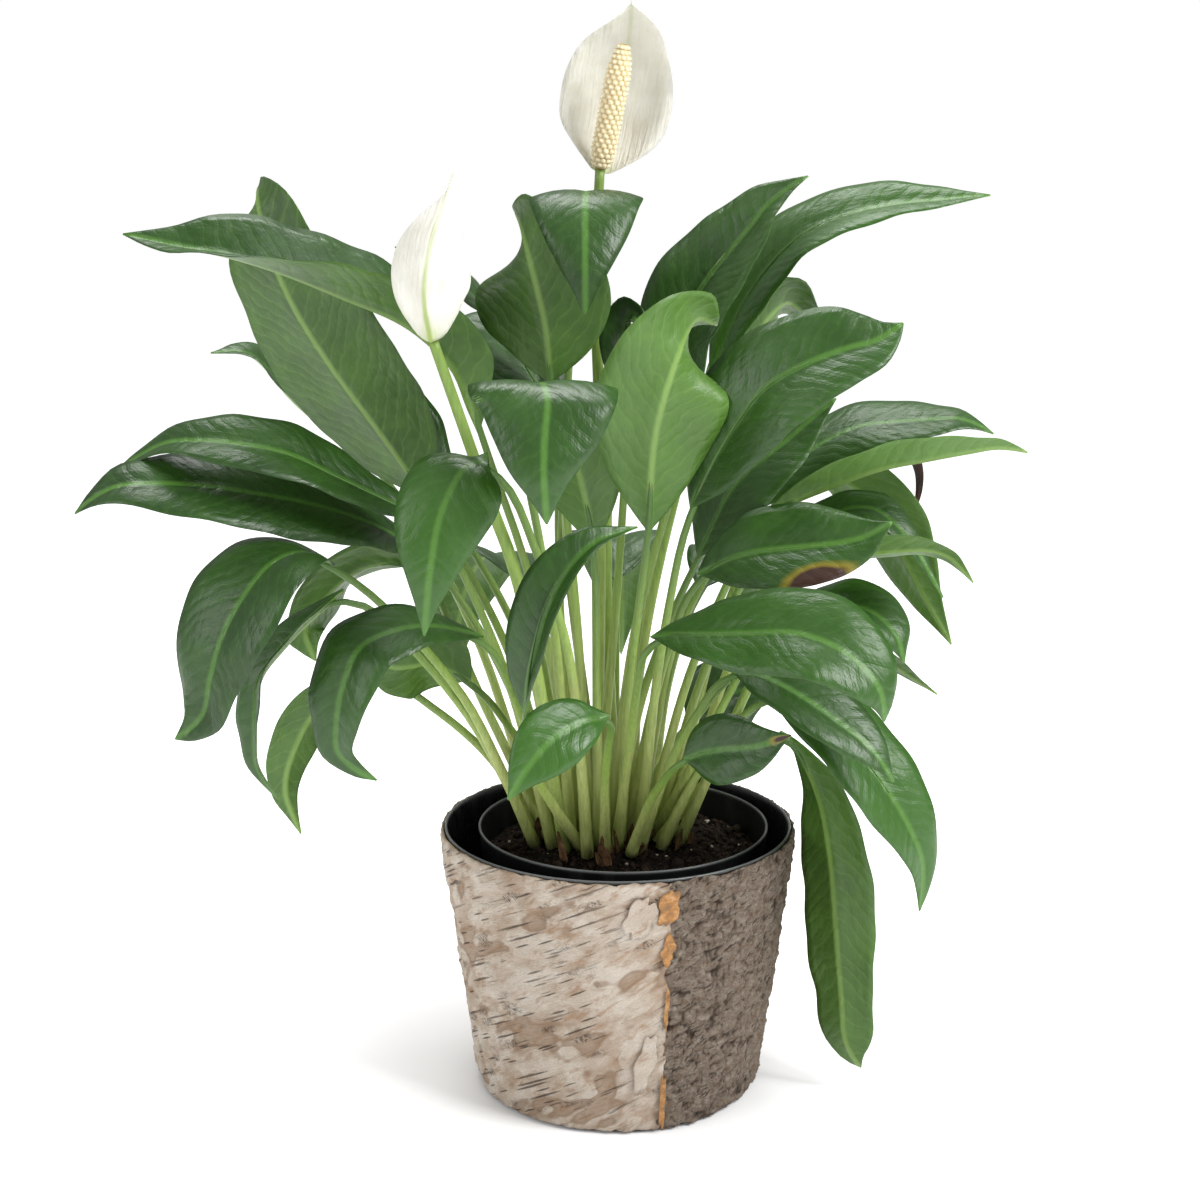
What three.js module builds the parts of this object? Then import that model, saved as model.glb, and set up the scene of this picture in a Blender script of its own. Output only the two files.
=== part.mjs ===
// A potted peace lily in millimetres, +Z up.
// The origin is the middle of the cover pot's foot, on the surface that the pot stands on, and +X is to the
// right of someone who looks at the front of the plant along +Y.
import * as THREE from "three";
import { mergeVertices } from "three/addons/utils/BufferGeometryUtils.js";

// ---- driving dimensions -------------------------------------------------------------------------------
const clearance = 0.3; // gap between pieces that touch

// Cover pot: a black plastic liner, clad with two sheets of birch bark.
const coverPot = { height: 122, rimRadius: 78.6, footRadius: 62.4, wall: 1.4, floor: 2 };
const bark = { thickness: 2.1, toFloor: 1.4, belowRim: 0.9, seamGap: 0.5 };
const seams = { front: -75, back: 104 }; // degrees round the pot, from +X towards +Y
const roughBark = { ridge: 0.45, ridgesRound: 23, ridgesUp: 3.5 };

// Growing pot: it stands inside the cover pot, a little off centre, with a gap all round.
const growingPot = { gapAtRim: 11.2, gapAtFoot: 11, wall: 1, floor: 1.2, belowCoverRim: 1.6 };
const growingPotPlace = { x: 2.5, y: 3 };

const soilBelowRim = 12;
// Leaves: the stalk is a round rod that flattens into the blade; rise is how far its middle bows upwards, as
// a share of its length.
const stalk = { footRadius: 3, topRadius: 1.5, rise: 0.05 };
const blade = { thickness: 0.9, keel: 0.6, tipHalfWidth: 0.35 };

// The crown has room for all the stalks: its half width and half depth are counted in radii of a stalk's foot.
const crownRoom = { across: 14.7, deep: 11.3 };
const crown = {
  x: -6,
  y: 3,
  halfWidth: stalk.footRadius * crownRoom.across,
  halfDepth: stalk.footRadius * crownRoom.deep,
  height: 4,
  taper: 5,
};

// Flowers.
const flowerStalkRadius = { foot: 2.8, top: 2.1 };
const spathe = { thickness: 0.9, keel: 0.3 };

// ---- derived sizes -----------------------------------------------------------------------------------
const growingPotRim = coverPot.height - growingPot.belowCoverRim;
const growingPotRimRadius = coverPot.rimRadius - coverPot.wall - growingPot.gapAtRim;
const growingPotFootRadius = coverPot.footRadius - coverPot.wall - growingPot.gapAtFoot;
const soilTop = growingPotRim - soilBelowRim;
const crownTop = soilTop + clearance + crown.height;

// ---- helpers ------------------------------------------------------------------------------------------
const radians = THREE.MathUtils.degToRad;
const vector = (p) => new THREE.Vector3(p[0], p[1], p[2]);

function material(color, roughness) {
  return new THREE.MeshStandardMaterial({ color, roughness, metalness: 0 });
}

const materials = {
  blackPlastic: material(0x151617, 0.35),
  smoothBark: material(0xcbb59a, 0.85),
  roughBark: material(0x94806c, 0.95),
  soil: material(0x1b1410, 1),
  crown: material(0x4a3a22, 0.9),
  leaf: material(0x1f4a1a, 0.35),
  driedLeaf: material(0x4a2c20, 0.9),
  greenStalk: material(0x7f9a45, 0.5),
  spathe: material(0xeeebe0, 0.6),
  spadix: material(0xcdb98f, 0.8),
};

const plant = new THREE.Group();

function addMesh(name, geometry, look, place = [0, 0, 0]) {
  const mesh = new THREE.Mesh(geometry, look);
  mesh.name = name;
  mesh.position.set(...place);
  plant.add(mesh);
  return mesh;
}

// A closed solid of rings of points that all hold the same number of points, with a flat cap at each end.
function solidOfRings(rings) {
  const count = rings[0].length;
  const positions = rings.flat().flatMap((p) => [p.x, p.y, p.z]);
  const index = [];
  for (let ring = 0; ring < rings.length - 1; ring += 1) {
    for (let side = 0; side < count; side += 1) {
      const a = ring * count + side;
      const b = ring * count + ((side + 1) % count);
      // The two faces of a thin twisted body are split the same way, so that they stay apart.
      if (side < count / 2) index.push(a, b, b + count, a, b + count, a + count);
      else index.push(a, b, a + count, b, b + count, a + count);
    }
  }
  const last = (rings.length - 1) * count;
  for (let side = 1; side < count - 1; side += 1) {
    index.push(0, side + 1, side);
    index.push(last, last + side, last + side + 1);
  }
  const geometry = new THREE.BufferGeometry();
  geometry.setAttribute("position", new THREE.Float32BufferAttribute(positions, 3));
  geometry.setIndex(index);
  return mergeVertices(geometry, 1e-4);
}

// A full turn of a closed profile of [radius, height] points.
function turned(profile, segments) {
  const points = profile.map(([radius, height]) => new THREE.Vector2(radius, height));
  return new THREE.LatheGeometry(points, segments).rotateX(Math.PI / 2);
}

// ---- pots ---------------------------------------------------------------------------------------------
// Outer radius of the liner at a height above the foot.
function linerRadius(height) {
  const share = height / coverPot.height;
  return THREE.MathUtils.lerp(coverPot.footRadius, coverPot.rimRadius, share);
}

function potProfile(footRadius, rimRadius, bottom, rim, wall, floor) {
  const slope = (rimRadius - footRadius) / (rim - bottom);
  const inside = footRadius - wall + slope * floor;
  return [
    [0, bottom],
    [footRadius, bottom],
    [rimRadius, rim],
    [rimRadius - wall, rim],
    [inside, bottom + floor],
    [0, bottom + floor],
  ];
}

function coverPotLiner() {
  const { footRadius, rimRadius, height, wall, floor } = coverPot;
  return turned(potProfile(footRadius, rimRadius, 0, height, wall, floor), 64);
}

const growingPotFoot = coverPot.floor + clearance;

function growingPotShell() {
  const profile = potProfile(
    growingPotFootRadius,
    growingPotRimRadius,
    growingPotFoot,
    growingPotRim,
    growingPot.wall,
    growingPot.floor,
  );
  return turned(profile, 56);
}

// Radius of the growing pot's inside at a height.
function growingPotInside(height) {
  const share = (height - growingPotFoot) / (growingPotRim - growingPotFoot);
  return THREE.MathUtils.lerp(growingPotFootRadius, growingPotRimRadius, share) - growingPot.wall;
}

function soilBody() {
  const bottom = growingPotFoot + growingPot.floor + clearance;
  const gap = 1.5 * clearance;
  return turned(
    [
      [0, bottom],
      [growingPotInside(bottom) - gap, bottom],
      [growingPotInside(soilTop) - gap, soilTop],
      [0, soilTop],
    ],
    56,
  );
}

// The clump that the stalks grow from, a low oval mound on the soil.
function crownMound() {
  const bottom = soilTop + clearance;
  const mound = turned(
    [
      [0, 0],
      [1, 0],
      [1 - crown.taper / crown.halfWidth, crown.height],
      [0, crown.height],
    ],
    40,
  );
  mound.scale(crown.halfWidth, crown.halfDepth, 1);
  return mound.translate(crown.x, crown.y, bottom);
}

// A sheet of bark round the liner between two angles; ridge gives the depth of its fissures.
function barkSheet(fromDegrees, toDegrees, ridge) {
  const bottom = bark.toFloor;
  const top = coverPot.height - bark.belowRim;
  const halfGap = THREE.MathUtils.radToDeg(bark.seamGap / 2 / coverPot.footRadius);
  const columns = 48;
  const levels = 7;
  const rings = [];
  for (let column = 0; column <= columns; column += 1) {
    const share = column / columns;
    const angle = radians(THREE.MathUtils.lerp(fromDegrees + halfGap, toDegrees - halfGap, share));
    const direction = new THREE.Vector3(Math.cos(angle), Math.sin(angle), 0);
    const ring = [];
    for (let level = 0; level <= levels; level += 1) {
      const height = THREE.MathUtils.lerp(bottom, top, level / levels);
      const wave = Math.sin(roughBark.ridgesRound * angle + roughBark.ridgesUp * level);
      const radius = linerRadius(height) + clearance + bark.thickness + ridge * wave;
      ring.push(direction.clone().multiplyScalar(radius).setZ(height));
    }
    for (const height of [top, bottom]) {
      const radius = linerRadius(height) + clearance;
      ring.push(direction.clone().multiplyScalar(radius).setZ(height));
    }
    rings.push(ring.reverse());
  }
  return solidOfRings(rings);
}

const growingPotAt = [growingPotPlace.x, growingPotPlace.y, 0];
addMesh("cover_pot", coverPotLiner(), materials.blackPlastic);
addMesh("bark_panel_smooth", barkSheet(seams.back, seams.front + 360, 0), materials.smoothBark);
addMesh("bark_panel_rough", barkSheet(seams.front, seams.back, roughBark.ridge), materials.roughBark);
addMesh("nursery_pot", growingPotShell(), materials.blackPlastic, growingPotAt);
addMesh("potting_soil", soilBody(), materials.soil, growingPotAt);
addMesh("crown", crownMound(), materials.crown);

// ---- leaves -------------------------------------------------------------------------------------------
// The stalks leave the crown in a sunflower spiral of places, each taken once.
const goldenAngle = Math.PI * (3 - Math.sqrt(5));
const stalkPlaces = 50;
const freePlaces = Array.from({ length: stalkPlaces }, (_, k) => {
  const radius = Math.sqrt((k + 0.5) / stalkPlaces);
  const reach = stalk.footRadius + crown.taper;
  const angle = k * goldenAngle;
  return new THREE.Vector3(
    crown.x + (crown.halfWidth - reach) * radius * Math.cos(angle),
    crown.y + (crown.halfDepth - reach) * radius * Math.sin(angle),
    crownTop + clearance,
  );
});

// The free place nearest to the side that a stalk leans to; a steep stalk stands near the middle.
function takePlace(neck) {
  const fullLean = 105; // sideways reach of the neck at which a stalk stands at the crown's edge
  const away = new THREE.Vector3(neck.x - crown.x, neck.y - crown.y, 0);
  const share = Math.min(1, away.length() / fullLean);
  away.setLength(share);
  const wish = new THREE.Vector3(
    crown.x + away.x * crown.halfWidth,
    crown.y + away.y * crown.halfDepth,
    crownTop + clearance,
  );
  freePlaces.sort((p, q) => p.distanceToSquared(wish) - q.distanceToSquared(wish));
  return freePlaces.shift();
}

// Points are [right, back, up] from the middle of the pot and the soil's surface. A point that hangs beside the
// pot keeps its distance from the rim and its share of the pot's height; hangsBelow is where that starts.
const drawnPot = { rimRadius: 78.6, soilTop: 108.4, hangsBelow: 80 };

function fromSoil([x, y, up]) {
  const widening = (coverPot.rimRadius - drawnPot.rimRadius) * Math.sign(x);
  const hanging = THREE.MathUtils.clamp(1 - up / drawnPot.hangsBelow, 0, 1);
  const outside = Math.hypot(x, y) > drawnPot.rimRadius ? widening * hanging : 0;
  const lift = up < 0 ? (up * soilTop) / drawnPot.soilTop : up;
  return new THREE.Vector3(x + outside, y, soilTop + lift);
}

// Section of a leaf: left edge, top, right edge, underside. Every section has eight points.
function rodSection(radius) {
  return Array.from({ length: 8 }, (_, k) => {
    const angle = Math.PI - (k * Math.PI) / 4;
    return [radius * Math.cos(angle), radius * Math.sin(angle)];
  });
}

function bladeSection(halfWidth, fold, sag, thickness, keel) {
  const half = thickness / 2;
  const at = (share, up) => [
    share * halfWidth * Math.cos(fold),
    Math.abs(share) * halfWidth * Math.sin(fold) - sag * halfWidth * share * share + up,
  ];
  const mid = 0.52;
  return [at(-1, 0), at(-mid, half), at(0, half), at(mid, half), at(1, 0), at(mid, -half), at(0, -half - keel),
    at(-mid, -half)];
}

// Width of a blade along its length, as a share of its widest; a higher power moves the widest place to the tip.
function bladeOutline(share, power) {
  return Math.pow(Math.max(0, Math.sin(Math.PI * Math.pow(share, power))), 1.1);
}

// The direction across a body at each station: square to its rib and to the wanted face, but turned no more than
// mostTurn degrees from one station to the next, counted from the station named start.
function acrossDirections(tangents, faces, start) {
  const across = tangents.map((tangent, i) => new THREE.Vector3().crossVectors(tangent, faces[i]).normalize());
  const limit = (i, from) => {
    const carried = across[from].clone().projectOnPlane(tangents[i]).normalize();
    const turn = carried.angleTo(across[i]);
    const side = Math.sign(new THREE.Vector3().crossVectors(carried, across[i]).dot(tangents[i])) || 1;
    across[i] = carried.applyAxisAngle(tangents[i], side * Math.min(turn, radians(mostTurn)));
  };
  for (let i = start + 1; i < across.length; i += 1) limit(i, i - 1);
  for (let i = start - 1; i >= 0; i -= 1) limit(i, i + 1);
  return across;
}

function placeSection(section, centre, tangent, right) {
  const up = new THREE.Vector3().crossVectors(right, tangent).normalize();
  return section.map(([a, b]) => centre.clone().addScaledVector(right, a).addScaledVector(up, b));
}

const bladeStations = [0.05, 0.14, 0.26, 0.4, 0.54, 0.67, 0.79, 0.9, 1];
const stalkStations = [0, 0.22, 0.46, 0.7, 0.9];
const mostTurn = 28;

// A leaf: its midrib runs through rib (neck first, tip last); faces are the directions that its upper side
// looks in at the neck and at the tip, fold is how far its halves rise there, in degrees, and bend moves the
// middle of the stalk, to pass its neighbours.
function leafBody({ rib, width, faces, fold, bend = [0, 0, 0], power = 0.75 }) {
  const points = rib.map(fromSoil);
  const neck = points[0];
  const foot = takePlace(neck);
  const knee = foot.clone().lerp(neck, 0.5);
  const lean = new THREE.Vector3(neck.x - foot.x, neck.y - foot.y, 0);
  knee.addScaledVector(lean, -2 * stalk.rise);
  knee.z += stalk.rise * foot.distanceTo(neck);
  knee.add(vector(bend));
  const route = new THREE.CatmullRomCurve3([foot, knee, ...points], false, "centripetal");
  const neckAt = 2 / (points.length + 1);
  const faceAt = (share) => vector(faces[0]).lerp(vector(faces[faces.length - 1]), share);
  const places = [
    ...stalkStations.map((share) => share * neckAt),
    ...bladeStations.map((share) => neckAt + share * (1 - neckAt)),
  ];
  const tangents = places.map((at) => route.getTangent(at));
  const wanted = places.map((at) => faceAt(Math.max(0, (at - neckAt) / (1 - neckAt))));
  const across = acrossDirections(tangents, wanted, stalkStations.length + 3);
  const rings = places.map((at, i) => {
    const place = (section) => placeSection(section, route.getPoint(at), tangents[i], across[i]);
    if (i < stalkStations.length) {
      const share = stalkStations[i];
      return place(rodSection(THREE.MathUtils.lerp(stalk.footRadius, stalk.topRadius, Math.sqrt(share))));
    }
    const share = bladeStations[i - stalkStations.length];
    const half = Math.max(blade.tipHalfWidth, (width / 2) * bladeOutline(share, power));
    const angle = radians(THREE.MathUtils.lerp(fold[0], fold[1], share));
    const thin = THREE.MathUtils.lerp(1, 0.6, share);
    return place(bladeSection(half, angle, 0, blade.thickness * thin, blade.keel * (1 - share)));
  });
  // The foot is cut level, so that it stands on the crown.
  rings[0].forEach((p) => p.setZ(foot.z));
  return solidOfRings(rings);
}

const leaves = {
  // left side, from the top down
  leaf_left_upright: {
    rib: [[-85, 5, 161], [-100, 0, 186], [-124, -8, 222], [-144, -12, 260], [-152, -8, 290], [-154, 10, 296]],
    width: 64, faces: [[0.3, 0.85, 0.4], [0.3, 0.8, 0.5]], fold: [8, 4],
  },
  leaf_left_arching: {
    rib: [[-60, -17, 194], [-75, -27, 229], [-114, -40, 252], [-153, -47, 267], [-177, -47, 272], [-201, -42, 277]],
    width: 56, faces: [[0.3, 0.3, 0.9], [0, -0.7, 0.7]], fold: [52, 15],
  },
  leaf_left_small_tip: {
    rib: [[-112, 62, 165], [-148, 58, 196], [-168, 50, 220], [-184, 40, 222]],
    width: 30, faces: [[0, 0, 1], [-0.3, -0.5, 0.8]], fold: [20, 10],
  },
  leaf_left_curved: {
    rib: [[-80, -34, 156], [-108, -47, 174], [-135, -60, 190], [-160, -64, 195], [-184, -60, 194], [-207, -56, 181]],
    width: 38, faces: [[-0.1, -0.5, 0.85], [-0.1, -0.5, 0.85]], fold: [4, 10],
  },
  leaf_left_long: {
    rib: [[-84, -12, 138], [-112, -35, 160], [-150, -60, 174], [-177, -70, 179], [-203, -75, 178], [-218, -75, 168]],
    width: 46, faces: [[0, -0.6, 0.8], [0, -0.5, 0.85]], fold: [-8, 8], bend: [0, -10, 6],
  },
  leaf_left_hanging: {
    rib: [[-116, -62, 143], [-132, -80, 153], [-149, -95, 137], [-159, -100, 116], [-166, -100, 90], [-177, -98, 81]],
    width: 50, faces: [[-0.3, -0.5, 0.8], [-0.5, -0.85, 0.2]], fold: [5, 5],
  },
  leaf_left_narrow: {
    rib: [[-118, -32, 124], [-137, -42, 110], [-151, -50, 93], [-153, -53, 74], [-153, -53, 56], [-145, -50, 40]],
    width: 24, faces: [[-0.6, -0.3, 0.7], [-0.7, -0.6, 0.3]], fold: [25, 25], bend: [0, -12, 4],
  },
  leaf_left_low: {
    rib: [[-108, -8, 82], [-130, -10, 73], [-143, -10, 53], [-149, -10, 32], [-143, -8, 10]],
    width: 26, faces: [[-0.3, 0.6, 0.7], [-0.4, 0.9, 0.1]], fold: [12, 12],
  },
  leaf_left_front_arch: {
    rib: [[-58, -60, 113], [-83, -77, 122], [-104, -92, 116], [-111, -97, 96], [-112, -96, 74], [-98, -92, 62]],
    width: 33, faces: [[0, -0.5, 0.85], [-0.5, -0.8, 0.2]], fold: [-5, 12], bend: [-4, -2, 0],
  },
  leaf_left_olive: {
    rib: [[-90, 12, 128], [-112, 2, 131], [-128, -8, 120], [-137, -14, 106], [-133, -14, 92]],
    width: 42, faces: [[0, 0.5, 0.85], [-0.6, 0.6, 0.4]], fold: [6, 6], bend: [-12, 10, 4],
  },
  leaf_left_round: {
    rib: [[-66, -12, 82], [-82, -16, 91], [-97, -22, 91], [-109, -26, 97]],
    width: 44, faces: [[0.1, 0.8, 0.5], [-0.2, 0.9, 0.3]], fold: [6, 6], bend: [0, 4, -7],
  },
  leaf_left_folded: {
    rib: [[-76, 22, 152], [-92, 26, 178], [-105, 30, 206], [-116, 32, 232]],
    width: 36, faces: [[0.5, -0.5, 0.5], [0.4, -0.7, 0.4]], fold: [35, 25], bend: [4, 6, 0],
  },
  // middle
  leaf_front_left_drooping: {
    rib: [[-52, -88, 190], [-60, -99, 190], [-69, -108, 173], [-73, -112, 152], [-76, -110, 126]],
    width: 40, faces: [[0, -0.5, 0.85], [0, -1, 0.1]], fold: [-12, -6], bend: [6, 0, 4],
  },
  leaf_front_drooping: {
    rib: [[-38, -78, 201], [-33, -90, 221], [-28, -108, 220], [-29, -122, 196], [-28, -122, 172]],
    width: 58, faces: [[0, 0.6, 0.8], [0, -1, 0]], fold: [-4, -8],
  },
  leaf_centre_tall: {
    rib: [[-29, -10, 213], [-31, -16, 238], [-36, -20, 261], [-41, -12, 279], [-44, 6, 284]],
    width: 60, faces: [[0.1, 0.8, 0.5], [0, 0.5, 0.9]], fold: [8, 8],
  },
  leaf_centre_top_drooping: {
    rib: [[-18, 6, 264], [-14, -9, 293], [-14, -27, 290], [-14, -42, 268], [-14, -44, 244]],
    width: 48, faces: [[0, 0.6, 0.8], [0, -1, 0.1]], fold: [-4, -10], bend: [-12, 10, 0],
  },
  leaf_behind_flower: {
    rib: [[-26, 40, 205], [-42, 35, 222], [-63, 25, 247], [-82, 20, 265], [-97, 15, 270]],
    width: 38, faces: [[-0.2, -0.2, 1], [-0.3, -0.3, 0.9]], fold: [5, 5], bend: [-6, 0, 0],
  },
  leaf_centre_bright: {
    rib: [[12, -50, 157], [14, -63, 196], [22, -68, 228], [30, -55, 243], [40, -36, 240]],
    width: 54, faces: [[0, 0.9, 0.4], [0.1, 0.3, 0.95]], fold: [6, 4],
  },
  leaf_centre_pale: {
    rib: [[-11, -30, 147], [-16, -38, 176], [-21, -42, 194], [-22, -40, 208], [-21, -28, 216]],
    width: 40, faces: [[0, 0.9, 0.4], [0, 0.4, 0.9]], fold: [6, 6],
  },
  leaf_centre_dark: {
    rib: [[-38, -84, 88], [-33, -92, 115], [-25, -92, 140], [-11, -86, 157], [7, -78, 163]],
    width: 30, faces: [[-0.5, -0.6, 0.5], [-0.4, -0.7, 0.6]], fold: [35, 35], bend: [-11, -9, 0],
  },
  leaf_front_small: {
    rib: [[-6, -72, 82], [-24, -86, 80], [-36, -93, 69], [-45, -96, 55]],
    width: 28, faces: [[0.2, -0.8, 0.6], [0.2, -0.9, 0.3]], fold: [5, 5],
  },
  leaf_centre_curled: {
    rib: [[4, 18, 200], [2, 14, 228], [6, 8, 242], [11, 0, 236]],
    width: 22, faces: [[0, -0.8, 0.6], [0, -0.5, 0.8]], fold: [20, 20], bend: [4, 2, 0],
  },
  // right side, from the top down
  leaf_right_dark: {
    rib: [[33, 0, 206], [28, 6, 228], [36, 10, 252], [52, 12, 272], [66, 12, 289], [81, 8, 300]],
    width: 48, faces: [[-0.6, -0.7, 0.3], [-0.3, -0.6, 0.7]], fold: [14, 18],
  },
  leaf_right_top_long: {
    rib: [[42, 30, 211], [58, 34, 248], [82, 29, 275], [109, 22, 286], [141, 15, 290], [160, 12, 292]],
    width: 40, faces: [[-0.3, -0.5, 0.8], [0, -0.5, 0.85]], fold: [10, 10],
  },
  leaf_right_rounded: {
    rib: [[39, 58, 190], [60, 70, 220], [80, 80, 242], [98, 92, 224]],
    width: 46, faces: [[-0.2, 0.6, 0.7], [0.5, 0.6, 0.6]], fold: [6, 6], bend: [-6, 0, 0],
  },
  leaf_right_glossy: {
    rib: [[30, -50, 166], [41, -59.5, 192], [58, -65, 217], [83, -69, 231], [103, -69, 237], [112, -67, 243]],
    width: 50, faces: [[-0.5, -0.7, 0.5], [-0.2, -0.8, 0.5]], fold: [8, 8],
  },
  leaf_right_below_glossy: {
    rib: [[35, -14, 139], [51, -18, 172], [72, -19, 190], [92, -20, 208]],
    width: 44, faces: [[-0.5, -0.7, 0.5], [-0.4, -0.7, 0.6]], fold: [8, 8],
  },
  leaf_right_pale_long: {
    rib: [[66, -12, 157], [87, -17, 168], [111, -22, 178], [141, -24, 184], [162, -22, 187], [174, -20, 185]],
    width: 26, faces: [[-0.2, 0.5, 0.85], [0, 0.5, 0.85]], fold: [35, 20],
  },
  leaf_right_behind_pale: {
    rib: [[60, 12, 154], [80, 14, 177], [106, 12, 192], [132, 8, 195], [150, 5, 196], [164, 3, 190]],
    width: 38, faces: [[0, -0.5, 0.85], [0, -0.4, 0.9]], fold: [-10, 5], bend: [-2, 15, 8],
  },
  leaf_right_hanging_pale: {
    rib: [[84, 26, 168], [104, 30, 165], [122, 26, 146], [136, 19, 119], [151, 12, 93]],
    width: 44, faces: [[0.3, 0.5, 0.8], [0.5, 0.8, 0.2]], fold: [8, 8], bend: [0, 11, 8],
  },
  leaf_right_dried: {
    rib: [[112, 54, 164], [131, 55, 177], [139, 53, 166], [138, 50, 142]],
    width: 10, faces: [[0, -0.3, 1], [0.8, -0.5, 0.2]], fold: [45, 45], bend: [0, 14, 0],
  },
  leaf_right_burnt_spot: {
    rib: [[35, -35, 134], [55, -44, 146], [80, -50, 150], [100, -53, 154], [112, -55, 161]],
    width: 40, faces: [[0, -0.8, 0.6], [0, -0.8, 0.6]], fold: [6, 6],
  },
  leaf_right_small_arched: {
    rib: [[66, 0, 140], [92, 0, 154], [110, -2, 158], [124, -8, 148], [142, -12, 120]],
    width: 26, faces: [[0, -0.3, 0.95], [0.3, -0.6, 0.7]], fold: [4, 10], bend: [0, -6, 0],
  },
  leaf_right_grey: {
    rib: [[80, -27, 132], [99, -33, 142], [119, -38, 146], [136, -41, 145], [149, -42, 133]],
    width: 26, faces: [[0, 0.5, 0.85], [0.2, 0.5, 0.8]], fold: [6, 12], bend: [12, -6, 14],
  },
  leaf_right_small_glossy: {
    rib: [[68, -14, 108], [89, -20, 117], [106, -26, 118], [118, -34, 109], [122, -37, 97]],
    width: 36, faces: [[0, -0.4, 0.9], [0.5, -0.7, 0.5]], fold: [4, -6], bend: [0, -18, -6],
  },
  leaf_right_front_big: {
    rib: [[15, -62, 113], [41, -79, 119], [71, -94, 123], [90, -102, 116], [102, -105, 102], [104, -104, 90]],
    width: 44, faces: [[0, -0.6, 0.8], [0.5, -0.8, 0.2]], fold: [6, 2],
  },
  leaf_right_back_low: {
    rib: [[58, 14, 82], [90, 24, 90], [118, 27, 84], [148, 26, 66]],
    width: 34, faces: [[0, 0.4, 0.9], [0.2, 0.5, 0.8]], fold: [6, 6], bend: [5, 9, 4],
  },
  leaf_right_dark_low: {
    rib: [[49, -44, 94], [67, -58, 93], [87, -68, 82], [104, -74, 69], [113, -76, 56]],
    width: 32, faces: [[0.1, -0.5, 0.9], [0.5, -0.8, 0.3]], fold: [4, 6],
  },
  leaf_right_low_bright: {
    rib: [[66, -26, 78], [84, -42, 76], [103, -50, 59], [119, -54, 37], [130, -53, 12], [130, -51, -10]],
    width: 40, faces: [[0.2, -0.6, 0.8], [0.5, -0.8, 0.3]], fold: [8, 8],
  },
  leaf_right_lowest: {
    rib: [[73, -8, 56], [87, -14, 36], [94, -20, 8], [99, -24, -42], [105, -24, -88], [111, -22, -97]],
    width: 38, faces: [[0.6, 0.6, 0.6], [0.5, 0.9, 0.1]], fold: [14, 6], bend: [4, 6, 2], power: 0.9,
  },
  leaf_right_burnt_tip: {
    rib: [[28, -58, 60], [40, -67, 67], [56, -75, 71], [70, -79, 77]],
    width: 30, faces: [[0, -0.9, 0.4], [0.1, -0.9, 0.4]], fold: [5, 5],
  },
  leaf_right_shaded: {
    rib: [[34, 34, 50], [54, 42, 62], [78, 48, 64]],
    width: 40, faces: [[0, -0.8, 0.6], [0, -0.7, 0.7]], fold: [6, 6], bend: [-1, -5, -4],
  },
  // back
  leaf_back_high: {
    rib: [[-30, 50, 190], [-45, 62, 218], [-58, 78, 238], [-66, 100, 230]],
    width: 54, faces: [[0.1, -0.6, 0.8], [-0.2, -0.2, 0.95]], fold: [6, 6], bend: [-5, 4, 0],
  },
  leaf_back_left: {
    rib: [[-44, 62, 110], [-62, 90, 120], [-76, 110, 96], [-82, 118, 52]],
    width: 48, faces: [[0, 0.3, 0.95], [-0.3, 0.9, 0.2]], fold: [6, 6],
  },
  leaf_back: {
    rib: [[0, 62, 112], [2, 96, 128], [3, 124, 104], [3, 136, 58]],
    width: 50, faces: [[0, 0.3, 0.95], [0, 0.95, 0.2]], fold: [6, 6],
  },
  leaf_back_right: {
    rib: [[40, 60, 108], [58, 88, 120], [72, 108, 98], [80, 118, 52]],
    width: 48, faces: [[0.2, 0.3, 0.9], [0.4, 0.8, 0.2]], fold: [6, 6], bend: [0, 18, 4],
  },
};


// ---- flowers ------------------------------------------------------------------------------------------
// stem: the stalk's points above the crown; rib: the spathe's midrib from its foot to the end of its tail;
// faces: the directions that its hollow side looks in; spike: the ends of the spadix.
const flowers = {
  1: {
    stem: [[-8, 26, 180], [-10, 22, 260], [-8, 15, 303]],
    rib: [[-8, 18.6, 300], [-4, 26, 314], [1, 26, 340], [5, 16, 362], [5, 4, 373]],
    width: 49, faces: [[0, -0.9, 0.3], [0, -1, 0.2]], fold: 10, curl: 0.24, outline: { power: 0.92, tail: 0.93 },
    spike: { to: [2, 6, 354], radius: 5.6 },
  },
  2: {
    stem: [[-42, -60, 138], [-53, -65, 172], [-61, -68, 197], [-74, -72, 237]],
    rib: [[-74, -76, 235], [-76, -83, 254], [-73, -83, 275], [-68, -76, 290], [-65, -70, 301]],
    width: 34, faces: [[0.1, 0.9, 0.2], [0.1, 0.9, 0.2]], fold: 22, curl: 0.4, outline: { power: 0.75, tail: 0.82 },
    spike: { to: [-71, -69, 272], radius: 4 },
  },
  3: {
    stem: [[-5, 38, 120], [-4, 40, 180], [-3, 38, 214]],
    rib: [[-3, 35, 213], [-4, 32, 224], [-5, 32, 236], [-6, 33, 246], [-7, 32, 254]],
    width: 17, faces: [[0.2, 0.9, 0.2], [0.2, 0.9, 0.2]], fold: 35, curl: 0.5, outline: { power: 0.62, tail: 0.86 },
  },
};

const spatheStations = [0.02, 0.08, 0.17, 0.29, 0.42, 0.55, 0.67, 0.78, 0.87, 0.94, 1];
// Width of a spathe along its length, as a share of its widest: power moves the widest place towards the tip, and
// tail is the share of the length where its thin tail starts.
const spatheOutline = (share, { power, tail }) => {
  const body = Math.min(1, share / tail);
  return Math.pow(Math.max(0, Math.sin(Math.PI * Math.pow(body, power))), 0.8);
};

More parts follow.
